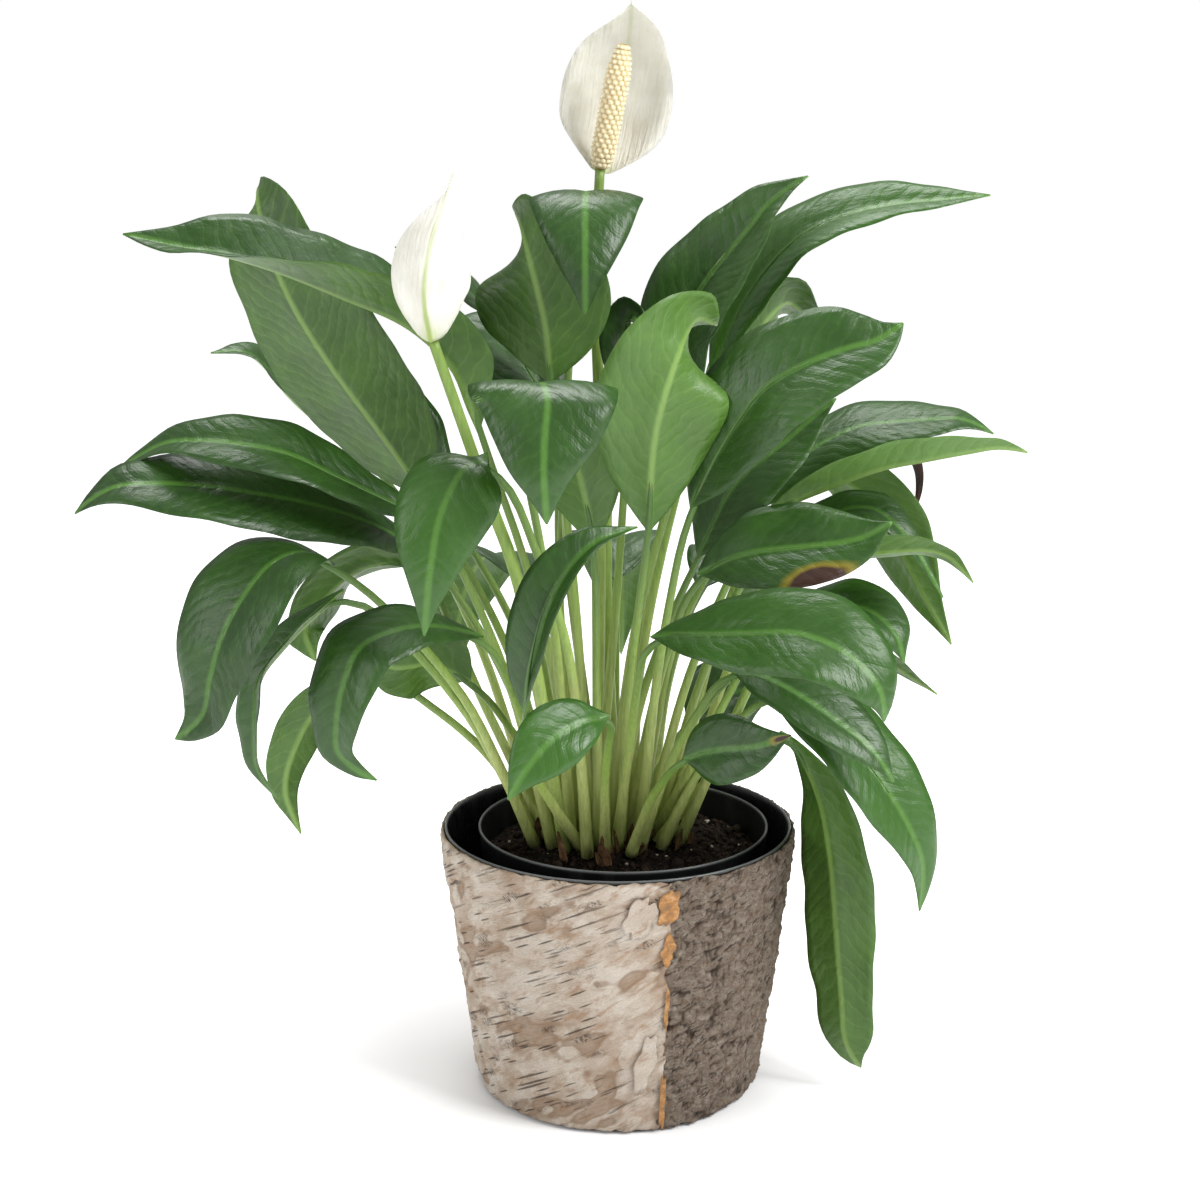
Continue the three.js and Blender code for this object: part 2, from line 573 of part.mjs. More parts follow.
function flowerStalk(stem) {
  const points = stem.map(fromSoil);
  const foot = takePlace(points[0]);
  const route = new THREE.CatmullRomCurve3([foot, ...points], false, "centripetal");
  const steps = 12;
  const rings = [];
  for (let step = 0; step <= steps; step += 1) {
    const share = step / steps;
    const radius = THREE.MathUtils.lerp(flowerStalkRadius.foot, flowerStalkRadius.top, share);
    const right = new THREE.Vector3(1, 0, 0).projectOnPlane(route.getTangent(share)).normalize();
    rings.push(placeSection(rodSection(radius), route.getPoint(share), route.getTangent(share), right));
  }
  rings[0].forEach((p) => p.setZ(foot.z));
  return solidOfRings(rings);
}

function spatheBody({ rib, width, faces, fold, curl, outline }) {
  const route = new THREE.CatmullRomCurve3(rib.map(fromSoil), false, "centripetal");
  const tangents = spatheStations.map((share) => route.getTangent(share));
  const wanted = spatheStations.map((share) => vector(faces[0]).lerp(vector(faces[1]), share));
  const across = acrossDirections(tangents, wanted, 4);
  const rings = spatheStations.map((share, i) => {
    const half = Math.max(blade.tipHalfWidth, (width / 2) * spatheOutline(share, outline));
    const section = bladeSection(half, radians(fold), -curl, spathe.thickness, spathe.keel);
    return placeSection(section, route.getPoint(share), tangents[i], across[i]);
  });
  return solidOfRings(rings);
}

// The spike of tiny florets: a rod with a rounded foot and top that stands on the end of the stalk.
function spadixBody(stem, { to, radius }) {
  const end = fromSoil(stem[stem.length - 1]);
  const top = fromSoil(to);
  const along = top.clone().sub(end).normalize();
  const foot = end.clone().addScaledVector(along, 4 * clearance);
  const length = top.distanceTo(foot);
  const rounded = [[0, 0.45], [0.04, 0.75], [0.14, 0.98], [0.5, 1], [0.82, 0.9], [0.95, 0.62], [1, 0.25]];
  const right = new THREE.Vector3(0, 1, 0).projectOnPlane(along).normalize();
  const rings = rounded.map(([share, girth]) => {
    const centre = foot.clone().addScaledVector(along, share * length);
    return placeSection(rodSection(girth * radius), centre, along, right);
  });
  return solidOfRings(rings);
}

for (const [number, flower] of Object.entries(flowers)) {
  addMesh(`flower_stalk_${number}`, flowerStalk(flower.stem), materials.greenStalk);
  addMesh(`spathe_${number}`, spatheBody(flower), materials.spathe);
  if (flower.spike) addMesh(`spadix_${number}`, spadixBody(flower.stem, flower.spike), materials.spadix);
}

// The leaves that lean furthest take their places on the crown first.
const lean = ([, { rib }]) => Math.hypot(rib[0][0] - crown.x, rib[0][1] - crown.y);
for (const [name, leaf] of Object.entries(leaves).sort((p, q) => lean(q) - lean(p))) {
  const dried = name.endsWith("dried");
  addMesh(name, leafBody(leaf), dried ? materials.driedLeaf : materials.leaf);
}

export default plant;
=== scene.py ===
# A potted peace lily: a green plant in a nursery pot, inside a black pot wrapped in birch bark.
# Metres throughout, Z up, the pot's axis on the Z axis and the front towards -Y.
import math
import random

import bmesh
import bpy
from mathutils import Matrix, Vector, noise
from mathutils.bvhtree import BVHTree


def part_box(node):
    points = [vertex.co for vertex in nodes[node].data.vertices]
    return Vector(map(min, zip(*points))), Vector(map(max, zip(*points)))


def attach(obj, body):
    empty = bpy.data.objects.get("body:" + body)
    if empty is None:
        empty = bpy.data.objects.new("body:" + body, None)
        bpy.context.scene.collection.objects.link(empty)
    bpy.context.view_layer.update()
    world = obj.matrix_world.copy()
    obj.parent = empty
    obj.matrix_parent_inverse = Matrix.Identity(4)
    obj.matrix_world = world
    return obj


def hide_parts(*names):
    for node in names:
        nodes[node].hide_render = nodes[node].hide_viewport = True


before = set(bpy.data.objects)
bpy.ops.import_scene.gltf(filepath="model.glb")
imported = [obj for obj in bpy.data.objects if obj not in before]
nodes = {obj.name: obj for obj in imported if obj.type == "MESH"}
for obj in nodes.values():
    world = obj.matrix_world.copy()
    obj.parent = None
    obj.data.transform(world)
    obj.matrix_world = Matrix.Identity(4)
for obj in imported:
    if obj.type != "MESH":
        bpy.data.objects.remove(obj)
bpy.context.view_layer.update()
MM = 0.001

# ---- how finely things are made ----
blade_steps = {"along": 46, "across": 10}
stalk_steps = {"along": 26, "round": 12}
pot_segments = 160

# ---- material helpers ----


class Finish:
    """A material and the short calls that build its nodes."""

    def __init__(self, name, roughness=0.5, specular=0.5):
        self.material = bpy.data.materials.new(name)
        self.material.use_nodes = True
        self.tree = self.material.node_tree
        self.shader = self.tree.nodes["Principled BSDF"]
        self.shader.inputs["Roughness"].default_value = roughness
        self.shader.inputs["Specular IOR Level"].default_value = specular

    def node(self, kind, **settings):
        made = self.tree.nodes.new(kind)
        for key, value in settings.items():
            setattr(made, key, value)
        return made

    def put(self, value, socket):
        if isinstance(value, bpy.types.NodeSocket):
            self.tree.links.new(value, socket)
        else:
            socket.default_value = value

    def coords(self, scale=(1, 1, 1), turn=0.0, uv=False, place=(0, 0, 0)):
        """Object or UV coordinates, stretched by scale and turned about Z by turn degrees."""
        source = self.node("ShaderNodeTexCoord").outputs["UV" if uv else "Object"]
        spin = self.node("ShaderNodeMapping")
        self.put(source, spin.inputs["Vector"])
        spin.inputs["Rotation"].default_value = (0, 0, math.radians(turn))
        stretch = self.node("ShaderNodeMapping")
        self.put(spin.outputs["Vector"], stretch.inputs["Vector"])
        stretch.inputs["Scale"].default_value = scale
        stretch.inputs["Location"].default_value = place
        return stretch.outputs["Vector"]

    def noise(self, at, scale, detail=4.0, rough=0.55, distortion=0.0):
        made = self.node("ShaderNodeTexNoise")
        self.put(at, made.inputs["Vector"])
        made.inputs["Scale"].default_value = scale
        made.inputs["Detail"].default_value = detail
        made.inputs["Roughness"].default_value = rough
        made.inputs["Distortion"].default_value = distortion
        return made.outputs["Fac"]

    def cells(self, at, scale, feature="F1", spread=1.0):
        made = self.node("ShaderNodeTexVoronoi", feature=feature)
        self.put(at, made.inputs["Vector"])
        made.inputs["Scale"].default_value = scale
        made.inputs["Randomness"].default_value = spread
        return made.outputs["Distance"]

    def ramp(self, value, *stops):
        """Numbers or colours at places from 0 to 1."""
        made = self.node("ShaderNodeValToRGB")
        band = made.color_ramp
        while len(band.elements) < len(stops):
            band.elements.new(0.5)
        for element, (place, colour) in zip(band.elements, stops):
            element.position = place
            element.color = (*colour, 1) if isinstance(colour, tuple) else (colour, colour, colour, 1)
        self.put(value, made.inputs["Fac"])
        return made.outputs["Color"]

    def maths(self, operation, *values):
        made = self.node("ShaderNodeMath", operation=operation)
        for value, socket in zip(values, made.inputs):
            self.put(value, socket)
        return made.outputs["Value"]

    def mix(self, share, first, second, blend="MIX"):
        made = self.node("ShaderNodeMix", data_type="RGBA", blend_type=blend)
        self.put(share, made.inputs[0])
        for value, socket in ((first, made.inputs[6]), (second, made.inputs[7])):
            self.put((*value, 1) if isinstance(value, tuple) else value, socket)
        return made.outputs[2]

    def attribute(self, name):
        return self.node("ShaderNodeAttribute", attribute_name=name).outputs["Fac"]

    def parts(self, at):
        split = self.node("ShaderNodeSeparateXYZ")
        self.put(at, split.inputs["Vector"])
        return split.outputs

    def colour(self, value):
        self.put((*value, 1) if isinstance(value, tuple) else value, self.shader.inputs["Base Color"])

    def rough(self, value):
        self.put(value, self.shader.inputs["Roughness"])

    def bump(self, *layers):
        """Each layer is a height from 0 to 1 and the depth it stands for, in metres."""
        normal = None
        for height, depth in layers:
            made = self.node("ShaderNodeBump")
            made.inputs["Distance"].default_value = depth
            self.put(height, made.inputs["Height"])
            if normal is not None:
                self.put(normal, made.inputs["Normal"])
            normal = made.outputs["Normal"]
        self.put(normal, self.shader.inputs["Normal"])


# ---- mesh helpers ----


def smooth_step(low, high, value):
    share = min(1.0, max(0.0, (value - low) / (high - low)))
    return share * share * (3 - 2 * share)


def mesh_object(name, points, faces, materials, slots=None, uvs=None, tone=None):
    """A new object from points and faces, smooth shaded, with its place in its mesh."""
    mesh = bpy.data.meshes.new(name)
    mesh.from_pydata([tuple(p) for p in points], [], faces)
    for material in materials:
        mesh.materials.append(material)
    if slots:
        mesh.polygons.foreach_set("material_index", slots)
    if uvs:
        layer = mesh.uv_layers.new(name="UVMap")
        for loop in mesh.loops:
            layer.data[loop.index].uv = uvs[loop.vertex_index]
    if tone is not None:
        layer = mesh.attributes.new("tone", "FLOAT", "POINT")
        layer.data.foreach_set("value", tone)
    mesh.shade_smooth()
    piece = bpy.data.objects.new(name, mesh)
    bpy.context.scene.collection.objects.link(piece)
    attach(piece, "root")
    return piece


def copied_mesh(name):
    """A merged copy of a CAD node's mesh."""
    copy = bmesh.new()
    copy.from_mesh(nodes[name].data)
    bmesh.ops.remove_doubles(copy, verts=copy.verts, dist=1e-6)
    copy.verts.ensure_lookup_table()
    return copy


ring_size = 8
# Which points of the next ring each point of a ring is joined to: 0 to 4 run over the upper side, from
# the left edge to the right one, and 4 to 8 back over the underside.
links_up = [(7, 0, 1), (1, 2), (2, 3), (3, 4), (4,), (4, 5), (5, 6), (6, 7)]


def rings_of(name, foot):
    """The rings of eight points that a CAD leaf, stalk or flower is made of, from its foot up."""
    body = copied_mesh(name)
    starts = sorted(body.verts, key=lambda v: (v.co - foot).length)
    caps = (flush_points(body, v, face.normal) for v in starts for face in v.link_faces)
    near = next(cap for cap in caps if len(cap) == ring_size)
    levels = [near]
    seen = set(near)
    while True:
        following = {e.other_vert(v) for v in levels[-1] for e in v.link_edges} - seen
        if not following:
            break
        levels.append(following)
        seen |= following
    # The second ring gives the order, which runs anticlockwise seen from the tip.
    second, third = levels[1], levels[2]
    order = [max(second, key=lambda v: len(joined(v, third)))]
    while len(order) < ring_size:
        order.append(next(v for v in joined(order[-1], second) if v not in order[-2:]))
    if facing(order).dot(middle(third) - middle(second)) < 0:
        order = order[:1] + order[:0:-1]
    rings = {1: order}
    rings[0] = [found_by(levels[0], second, {order[j] for j in links_up[i]}) for i in range(ring_size)]
    for k in range(2, len(levels)):
        last = rings[k - 1]
        wanted = [{last[i] for i in range(ring_size) if j in links_up[i]} for j in range(ring_size)]
        rings[k] = [found_by(levels[k], levels[k - 1], points) for points in wanted]
    found = [[v.co.copy() for v in rings[k]] for k in range(len(levels))]
    body.free()
    return found


def joined(v, level):
    """The points of a level that v is joined to."""
    return {e.other_vert(v) for e in v.link_edges} & level


def found_by(level, others, wanted):
    """The one point of a level that is joined to just the wanted ones of the others."""
    return next(v for v in level if joined(v, others) == wanted)


def flush_points(body, start, normal):
    """The points in the plane through start."""
    return {v for v in body.verts if abs((v.co - start.co).dot(normal)) < 2e-6}


def run_lengths(points):
    """How far along a line of points each one lies."""
    places = [0.0]
    for a, b in zip(points, points[1:]):
        places.append(places[-1] + (b - a).length)
    return places


def middle(points):
    places = [getattr(p, "co", p) for p in points]
    return sum(places, Vector()) / len(places)


def facing(loop):
    """The direction an outline of vertices faces in."""
    total = Vector()
    for a, b in zip(loop, loop[1:] + loop[:1]):
        total += a.co.cross(b.co)
    return total


def spline(values, places, at):
    """A smooth curve through values at rising places."""
    last = len(values) - 1
    k = min(last - 1, max(0, sum(1 for p in places[1:-1] if p <= at)))
    width = places[k + 1] - places[k]
    share = (at - places[k]) / width

    def slope(i):
        if i in (0, last):
            other = 1 if i == 0 else last - 1
            return (values[other] - values[i]) / (places[other] - places[i])
        before = (values[i] - values[i - 1]) / (places[i] - places[i - 1])
        after = (values[i + 1] - values[i]) / (places[i + 1] - places[i])
        ahead = places[i] - places[i - 1]
        behind = places[i + 1] - places[i]
        return (before * behind + after * ahead) / (ahead + behind)

    s2 = share * share
    s3 = s2 * share
    return (
        values[k] * (2 * s3 - 3 * s2 + 1)
        + slope(k) * (width * (s3 - 2 * s2 + share))
        + values[k + 1] * (3 * s2 - 2 * s3)
        + slope(k + 1) * (width * (s3 - s2))
    )


# ---- leaf finishes ----

dark_green = (0.0060, 0.0240, 0.0030)
bright_green = (0.030, 0.105, 0.006)
rib_green = (0.070, 0.180, 0.024)
under_dark = (0.022, 0.064, 0.007)
under_bright = (0.090, 0.205, 0.026)
under_rib = (0.190, 0.320, 0.070)
stalk_foot = (0.490, 0.550, 0.180)
stalk_mid = (0.250, 0.370, 0.070)
stalk_neck = (0.060, 0.140, 0.025)
burn_halo = (0.280, 0.200, 0.012)
burnt_brown = (0.036, 0.013, 0.006)
stalk_scar = (0.300, 0.220, 0.080)
vein_spacing = 0.0075
# UV on a blade: across it and along it from its neck, each in units of 100 mm.


def vein_waves(finish, per_unit):
    """Side veins: they leave the rib slanting and bend towards the tip. 0 between two, 1 on one."""
    across, along, _ = finish.parts(finish.coords(uv=True))
    out = finish.maths("ABSOLUTE", across)
    bend = finish.maths("MULTIPLY", finish.maths("MULTIPLY", out, out), 1.6)
    sweep = finish.maths("ADD", finish.maths("MULTIPLY", out, 0.75), bend)
    wander = finish.noise(finish.coords(scale=(1, 1, 1), uv=True), 4.0, detail=3.0)
    place = finish.maths(
        "ADD", finish.maths("SUBTRACT", along, sweep), finish.maths("MULTIPLY", wander, 0.22)
    )
    wave = finish.maths("SINE", finish.maths("MULTIPLY", place, per_unit * 2 * math.pi))
    return finish.maths("MULTIPLY_ADD", wave, 0.5, 0.5), out


def blade_finish(name, dark, bright, rib, roughness, vein_light, relief):
    finish = Finish(name, roughness=roughness, specular=0.5)
    veins, out = vein_waves(finish, 0.1 / vein_spacing)
    fine_veins, _ = vein_waves(finish, 0.1 / vein_spacing * 4.0)
    # The tone mixes dark and bright green: partly each leaf's own colour, partly painted light and shade.
    body = finish.mix(finish.attribute("tone"), dark, bright)
    blotch = finish.noise(finish.coords(), 45.0, detail=3.0)
    body = finish.mix(finish.ramp(blotch, (0.3, 0.0), (0.75, 0.55)), body, bright)
    speck = finish.noise(finish.coords(), 260.0, detail=2.0)
    body = finish.mix(finish.ramp(speck, (0.45, 0.0), (0.8, 0.12)), body, rib)
    line = finish.ramp(veins, (0.9, 0.0), (0.99, 1.0))
    body = finish.mix(finish.maths("MULTIPLY", line, vein_light), body, rib)
    mid = finish.ramp(out, (0.006, 1.0), (0.018, 0.0))
    body = finish.mix(finish.maths("MULTIPLY", mid, 0.85), body, rib)
    # Burnt places: a yellow halo round dead brown.
    burn = finish.maths("ADD", finish.attribute("burn"), finish.maths("MULTIPLY", blotch, 0.32))
    body = finish.mix(finish.ramp(burn, (0.34, 0.0), (0.58, 0.8)), body, burn_halo)
    body = finish.mix(finish.ramp(burn, (0.52, 0.0), (0.64, 1.0)), body, burnt_brown)
    finish.colour(body)
    sheen = finish.noise(finish.coords(), 90.0, detail=4.0)
    finish.rough(finish.maths("MULTIPLY_ADD", sheen, 0.3, roughness - 0.12))
    pillow = finish.maths("POWER", finish.maths("SUBTRACT", 1.0, veins), 0.6)
    ripples = finish.noise(finish.coords(scale=(3.0, 1.0, 1.0), uv=True), 9.0, detail=3.0)
    finish.bump(
        (pillow, relief),
        (fine_veins, relief * 0.15),
        (ripples, 0.0005),
        (sheen, 0.0002),
        (speck, 0.00003),
    )
    return finish.material


leaf_top = blade_finish("leaf_top", dark_green, bright_green, rib_green, 0.38, 0.08, 0.00015)
leaf_under = blade_finish("leaf_under", under_dark, under_bright, under_rib, 0.44, 0.14, 0.00016)


def stalk_finish():
    finish = Finish("leaf_stalk", roughness=0.42)
    share = finish.attribute("tone")
    body = finish.ramp(
        share, (0.0, stalk_foot), (0.22, stalk_foot), (0.55, stalk_mid), (1.0, stalk_neck)
    )
    streak = finish.noise(finish.coords(scale=(1, 1, 0.06)), 900.0, detail=3.0)
    body = finish.mix(finish.ramp(streak, (0.4, 0.0), (0.75, 0.4)), body, stalk_neck)
    patch = finish.noise(finish.coords(), 60.0, detail=3.0)
    body = finish.mix(finish.ramp(patch, (0.62, 0.0), (0.8, 0.5)), body, stalk_scar)
    finish.colour(body)
    finish.bump((streak, 0.0003))
    return finish.material


leaf_stalk = stalk_finish()


def dried_finish():
    finish = Finish("dried_leaf", roughness=0.75, specular=0.25)
    crease = finish.noise(finish.coords(), 140.0, detail=5.0)
    finish.colour(
        finish.ramp(
            crease,
            (0.3, (0.010, 0.005, 0.003)),
            (0.6, (0.045, 0.018, 0.010)),
            (0.8, (0.10, 0.05, 0.025)),
        )
    )
    finish.bump((crease, 0.0012))
    return finish.material


dried_leaf = dried_finish()

# ---- leaves ----

foot_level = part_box("crown")[1].z
stalk_levels = 5  # rings of a CAD leaf that are its stalk
rib_levels = 4  # rings past them that the stalk still runs under, as the midrib

# How bright each leaf is, from 0, dark, to 1: partly the leaf's own colour, partly painted light and
# shade, each leaf as lit or as shaded as it stands in the plant; the others are near usual_tone.
usual_tone = 0.30
tones_with_painted_light = {
    "leaf_front_left_drooping": 0.75,
    "leaf_front_small": 0.85,
    "leaf_right_top_long": 0.75,
    "leaf_right_low_bright": 0.85,
    "leaf_right_front_big": 0.55,
    "leaf_right_small_glossy": 0.5,
    "leaf_right_glossy": 0.35,
    "leaf_centre_bright": 0.55,
    "leaf_centre_pale": 0.6,
    "leaf_centre_tall": 0.12,
    "leaf_left_upright": 0.05,
    "leaf_left_arching": 0.25,
    "leaf_left_olive": 0.35,
    "leaf_left_round": 0.3,
    "leaf_right_hanging_pale": 0.65,
    "leaf_right_pale_long": 0.75,
    "leaf_right_grey": 0.45,
    "leaf_right_lowest": 0.35,
    "leaf_right_rounded": 0.2,
    "leaf_left_curved": 0.2,
    "leaf_left_long": 0.1,
    "leaf_left_hanging": 0.2,
    "leaf_centre_top_drooping": 0.2,
    "leaf_front_drooping": 0.3,
}
# Burnt places: how far along the blade and across it, from -1 at its left edge to 1, and their reach.
burns = {
    "leaf_right_burnt_spot": (0.62, 1.0, 0.24),
    "leaf_right_burnt_tip": (1.0, 0.0, 0.26),
}


def tube(path, radii, steps_round, lean=Vector((1, 0, 0))):
    """Points and faces of a closed round body along a path."""
    points, faces = [], []
    for i, place in enumerate(path):
        ahead = (path[min(i + 1, len(path) - 1)] - path[max(i - 1, 0)]).normalized()
        side = (lean - ahead * lean.dot(ahead)).normalized()
        rise = ahead.cross(side)
        for k in range(steps_round):
            angle = 2 * math.pi * k / steps_round
            points.append(place + (side * math.cos(angle) + rise * math.sin(angle)) * radii[i])
    faces = banded(len(path), steps_round)
    return points, faces


def banded(count, size):
    """Faces of a closed body made of rings of the same size, with both ends shut."""
    faces = []
    for i in range(count - 1):
        for k in range(size):
            a, b = i * size + k, i * size + (k + 1) % size
            faces.append((a, b, b + size, a + size))
    faces.append(tuple(reversed(range(size))))
    faces.append(tuple((count - 1) * size + k for k in range(size)))
    return faces


def blade(rings, neck, seed, ripple, arch, half_thick, keel):
    """Points, faces, slots, UVs and shares of a blade drawn finely through CAD rings."""
    chance = random.Random(seed)
    phase = [chance.uniform(0, 6.3) for _ in range(4)]
    columns = {
        -1.0: [neck] + [r[0] for r in rings],
        -0.52: [neck] + [(r[1] + r[7]) / 2 for r in rings],
        0.0: [neck] + [(r[2] + r[6]) / 2 for r in rings],
        0.52: [neck] + [(r[3] + r[5]) / 2 for r in rings],
        1.0: [neck] + [r[4] for r in rings],
    }
    rib = columns[0.0]
    places = run_lengths(rib)
    ups = [(r[2] - r[6]).normalized() for r in rings]
    ups = [ups[0]] + ups
    length = places[-1]
    along, across = blade_steps["along"], blade_steps["across"]
    shares = sorted(columns)
    points, uvs, place_on = [], [], []
    for i in range(along + 1):
        share = i / along
        share = share + 0.06 * math.sin(2 * math.pi * share) / (2 * math.pi)
        at = share * length
        here = {s: spline(columns[s], places, at) for s in shares}
        up = spline(ups, places, at).normalized()
        half = (here[1.0] - here[-1.0]).length / 2
        fade = smooth_step(0.02, 0.25, share) * (1 - smooth_step(0.82, 1.0, share))
        top, under = [], []
        for k in range(across + 1):
            s = 2 * k / across - 1
            out = abs(s)
            side = here[math.copysign(1.0, s)]
            quarter = here[math.copysign(0.52, s)]
            if out < 0.52:
                flat = here[0.0].lerp(quarter, out / 0.52)
            else:
                flat = quarter.lerp(side, (out - 0.52) / 0.48)
            long_wave = math.sin(at * 105 + phase[0 if s < 0 else 1])
            short_wave = math.sin(at * 260 + phase[2 if s < 0 else 3])
            wave = long_wave + 0.5 * short_wave
            wide = min(1.0, half / 0.012)
            lift = arch * half * (out - out * out) * 4 + ripple * fade * out * out * wave * wide
            spot = flat + up * lift
            edge = 1 - 0.75 * out**3
            rod = math.exp(-((out * half / 0.0011) ** 2))
            top.append(spot + up * (half_thick * edge - 0.0002 * rod * (1 - share)))
            under.append(spot - up * (half_thick * edge + keel * rod * (1 - 0.8 * share)))
        points += top + under[::-1]
        row = [(s * half * 10, at * 10) for s in [2 * k / across - 1 for k in range(across + 1)]]
        uvs += row + row[::-1]
        marks = [(share, 2 * k / across - 1) for k in range(across + 1)]
        place_on += marks + marks[::-1]
    size = 2 * (across + 1)
    faces = banded(along + 1, size)
    slots = [
        1 if f % size < across or f % size == size - 1 else 2 for f in range(along * size)
    ] + [1, 1]
    return points, faces, slots, uvs, place_on


def burnt(along, across, reach):
    """How burnt a spot is, from 0 to 1, by its distance from the middle of a burn; reach 0 is no burn."""
    if not reach:
        return 0.0
    return max(0.0, 1 - math.hypot(along / reach, across * 0.35 / reach))


def leaf(name):
    body = nodes[name].data
    foot = min((v.co for v in body.vertices), key=lambda p: abs(p.z - foot_level - 0.3 * MM))
    rings = rings_of(name, foot.copy())
    stalk_rings, blade_rings = rings[:stalk_levels], rings[stalk_levels:]
    seed = sum(ord(c) * (i + 3) for i, c in enumerate(name))
    centres = [middle(r) for r in stalk_rings]
    neck = centres[-1] + (centres[-1] - centres[-2]) * 0.4
    chance = random.Random(seed)
    dried = name == "leaf_right_dried"
    points, faces, slots, uvs, marks = blade(
        blade_rings,
        neck,
        seed,
        ripple=0.0022 if dried else chance.uniform(0.0005, 0.0011),
        arch=0.06,
        half_thick=0.00028,
        keel=0.0011,
    )
    tone = tones_with_painted_light.get(name, usual_tone + chance.uniform(-0.12, 0.12))
    tone_at = [tone] * len(points)
    place, side, reach = burns.get(name, (0, 0, 0))
    burn_at = [burnt(a - place, s - side, reach) for a, s in marks]
    # The stalk runs on under the blade, thinner and thinner, as its midrib.
    route = centres + [middle(r) for r in blade_rings]
    ups = [(r[2] - r[6]).normalized() for r in blade_rings]
    widths = [max((p - c).length for p in r) for c, r in zip(centres, stalk_rings)]
    places = run_lengths(route)
    radii = widths + [widths[-1] * (1 - 0.09 * k) for k in range(1, len(blade_rings) + 1)]
    depths = [0.0004 + 0.6 * radius for radius in radii[stalk_levels:]]
    sunk = [Vector()] * stalk_levels + [up * -depth for up, depth in zip(ups, depths)]
    route = [p + s for p, s in zip(route, sunk)]
    reach_of = places[stalk_levels + rib_levels]
    path, girth = [], []
    steps = stalk_steps["along"]
    for i in range(steps + 1):
        at = reach_of * i / steps
        path.append(spline(route, places, at))
        thin = 1 - 0.85 * smooth_step(places[stalk_levels - 1], reach_of, at)
        girth.append(spline([Vector((r, 0, 0)) for r in radii], places, at).x * thin)
    more, bands = tube(path, girth, stalk_steps["round"])
    first = len(points)
    points += more
    faces += [tuple(v + first for v in face) for face in bands]
    slots += [0] * len(bands)
    for i in range(steps + 1):
        share = min(1.0, reach_of * i / steps / places[stalk_levels])
        tone_at += [share] * stalk_steps["round"]
        uvs += [(k / stalk_steps["round"], share) for k in range(stalk_steps["round"])]
    burn_at += [0.0] * len(more)
    finishes = [leaf_stalk, dried_leaf, dried_leaf] if dried else [leaf_stalk, leaf_top, leaf_under]
    piece = mesh_object(name + "_fine", points, faces, finishes, slots, uvs, tone_at)
    layer = piece.data.attributes.new("burn", "FLOAT", "POINT")
    layer.data.foreach_set("value", burn_at)
    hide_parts(name)
    return piece


for node_name in sorted(nodes):
    if node_name.startswith("leaf_"):
        leaf(node_name)

# ---- pots ----


def deselect():
    bpy.ops.object.select_all(action="DESELECT")


def turned(name, centre, profile, segments=pot_segments):
    """A round body: a circle extruded ring by ring along radii and heights, shut at both ends."""
    deselect()
    (radius, height), rest = profile[0], profile[1:]
    bpy.ops.mesh.primitive_circle_add(vertices=segments, radius=radius, location=(*centre, height))
    piece = bpy.context.object
    piece.name = name
    bpy.ops.object.mode_set(mode="EDIT")
    bpy.ops.mesh.select_all(action="SELECT")
    for next_radius, next_height in rest:
        bpy.ops.mesh.extrude_region_move(TRANSFORM_OT_translate={"value": (0, 0, next_height - height)})
        share = next_radius / radius
        bpy.ops.transform.resize(value=(share, share, 1), center_override=(*centre, next_height))
        radius, height = next_radius, next_height
    bpy.ops.mesh.select_all(action="SELECT")
    bpy.ops.mesh.remove_doubles(threshold=0.00002)
    bpy.ops.mesh.normals_make_consistent(inside=False)
    bpy.ops.object.mode_set(mode="OBJECT")
    return piece


def finished(piece, finish, stands_for=(), smooth=None):
    """Places a modelled piece in the plant: its place goes into its mesh and it gets its finish."""
    deselect()
    piece.select_set(True)
    bpy.context.view_layer.objects.active = piece
    bpy.ops.object.transform_apply(location=True, rotation=True, scale=True)
    if smooth is None:
        bpy.ops.object.shade_smooth()
    else:
        bpy.ops.object.shade_smooth_by_angle(angle=math.radians(smooth))
    piece.data.materials.clear()
    piece.data.materials.append(finish)
    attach(piece, "root")
    if stands_for:
        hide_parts(*stands_for)
    return piece


def middle_of(node):
    low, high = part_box(node)
    return ((low.x + high.x) / 2, (low.y + high.y) / 2)


def radius_at(node, height, centre, outside=True):
    """Outer or inner radius of a round CAD node near a height."""
    tree = BVHTree.FromBMesh(copied_mesh(node))
    origin = Vector((*centre, height))
    if outside:
        hit = tree.ray_cast(origin + Vector((0.3, 0, 0)), Vector((-1, 0, 0)))
    else:
        hit = tree.ray_cast(origin, Vector((1, 0, 0)))
    return (hit[0] - origin).length


def pot(node, name, wall, lip, floor_thick):
    """A thin plastic pot in a CAD pot's place, with a rolled lip round its rim and a rounded foot."""
    low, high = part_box(node)
    centre = middle_of(node)
    foot = radius_at(node, low.z + 0.0005, centre)
    rim = radius_at(node, high.z - 0.0002, centre)
    bottom, top = low.z, high.z
    slope = (rim - foot) / (top - bottom)
    inner = foot - wall + slope * floor_thick
    step = lip * 2.2
    profile = [
        (0.00001, bottom),
        (foot - 0.003, bottom),
        (foot - 0.0008, bottom + 0.0003),
        (foot, bottom + 0.0014),
        (rim - slope * step, top - step),
        (rim, top - step * 0.8),
        (rim, top - lip * 0.6),
        (rim - lip * 0.25, top - lip * 0.15),
        (rim - lip * 0.6, top),
        (rim - lip * 1.0, top - lip * 0.2),
        (rim - lip * 1.25, top - lip * 0.7),
        (rim - wall - slope * step, top - step),
        (inner, bottom + floor_thick + 0.002),
        (inner - 0.002, bottom + floor_thick),
        (0.00001, bottom + floor_thick),
    ]
    return turned(name, centre, profile)


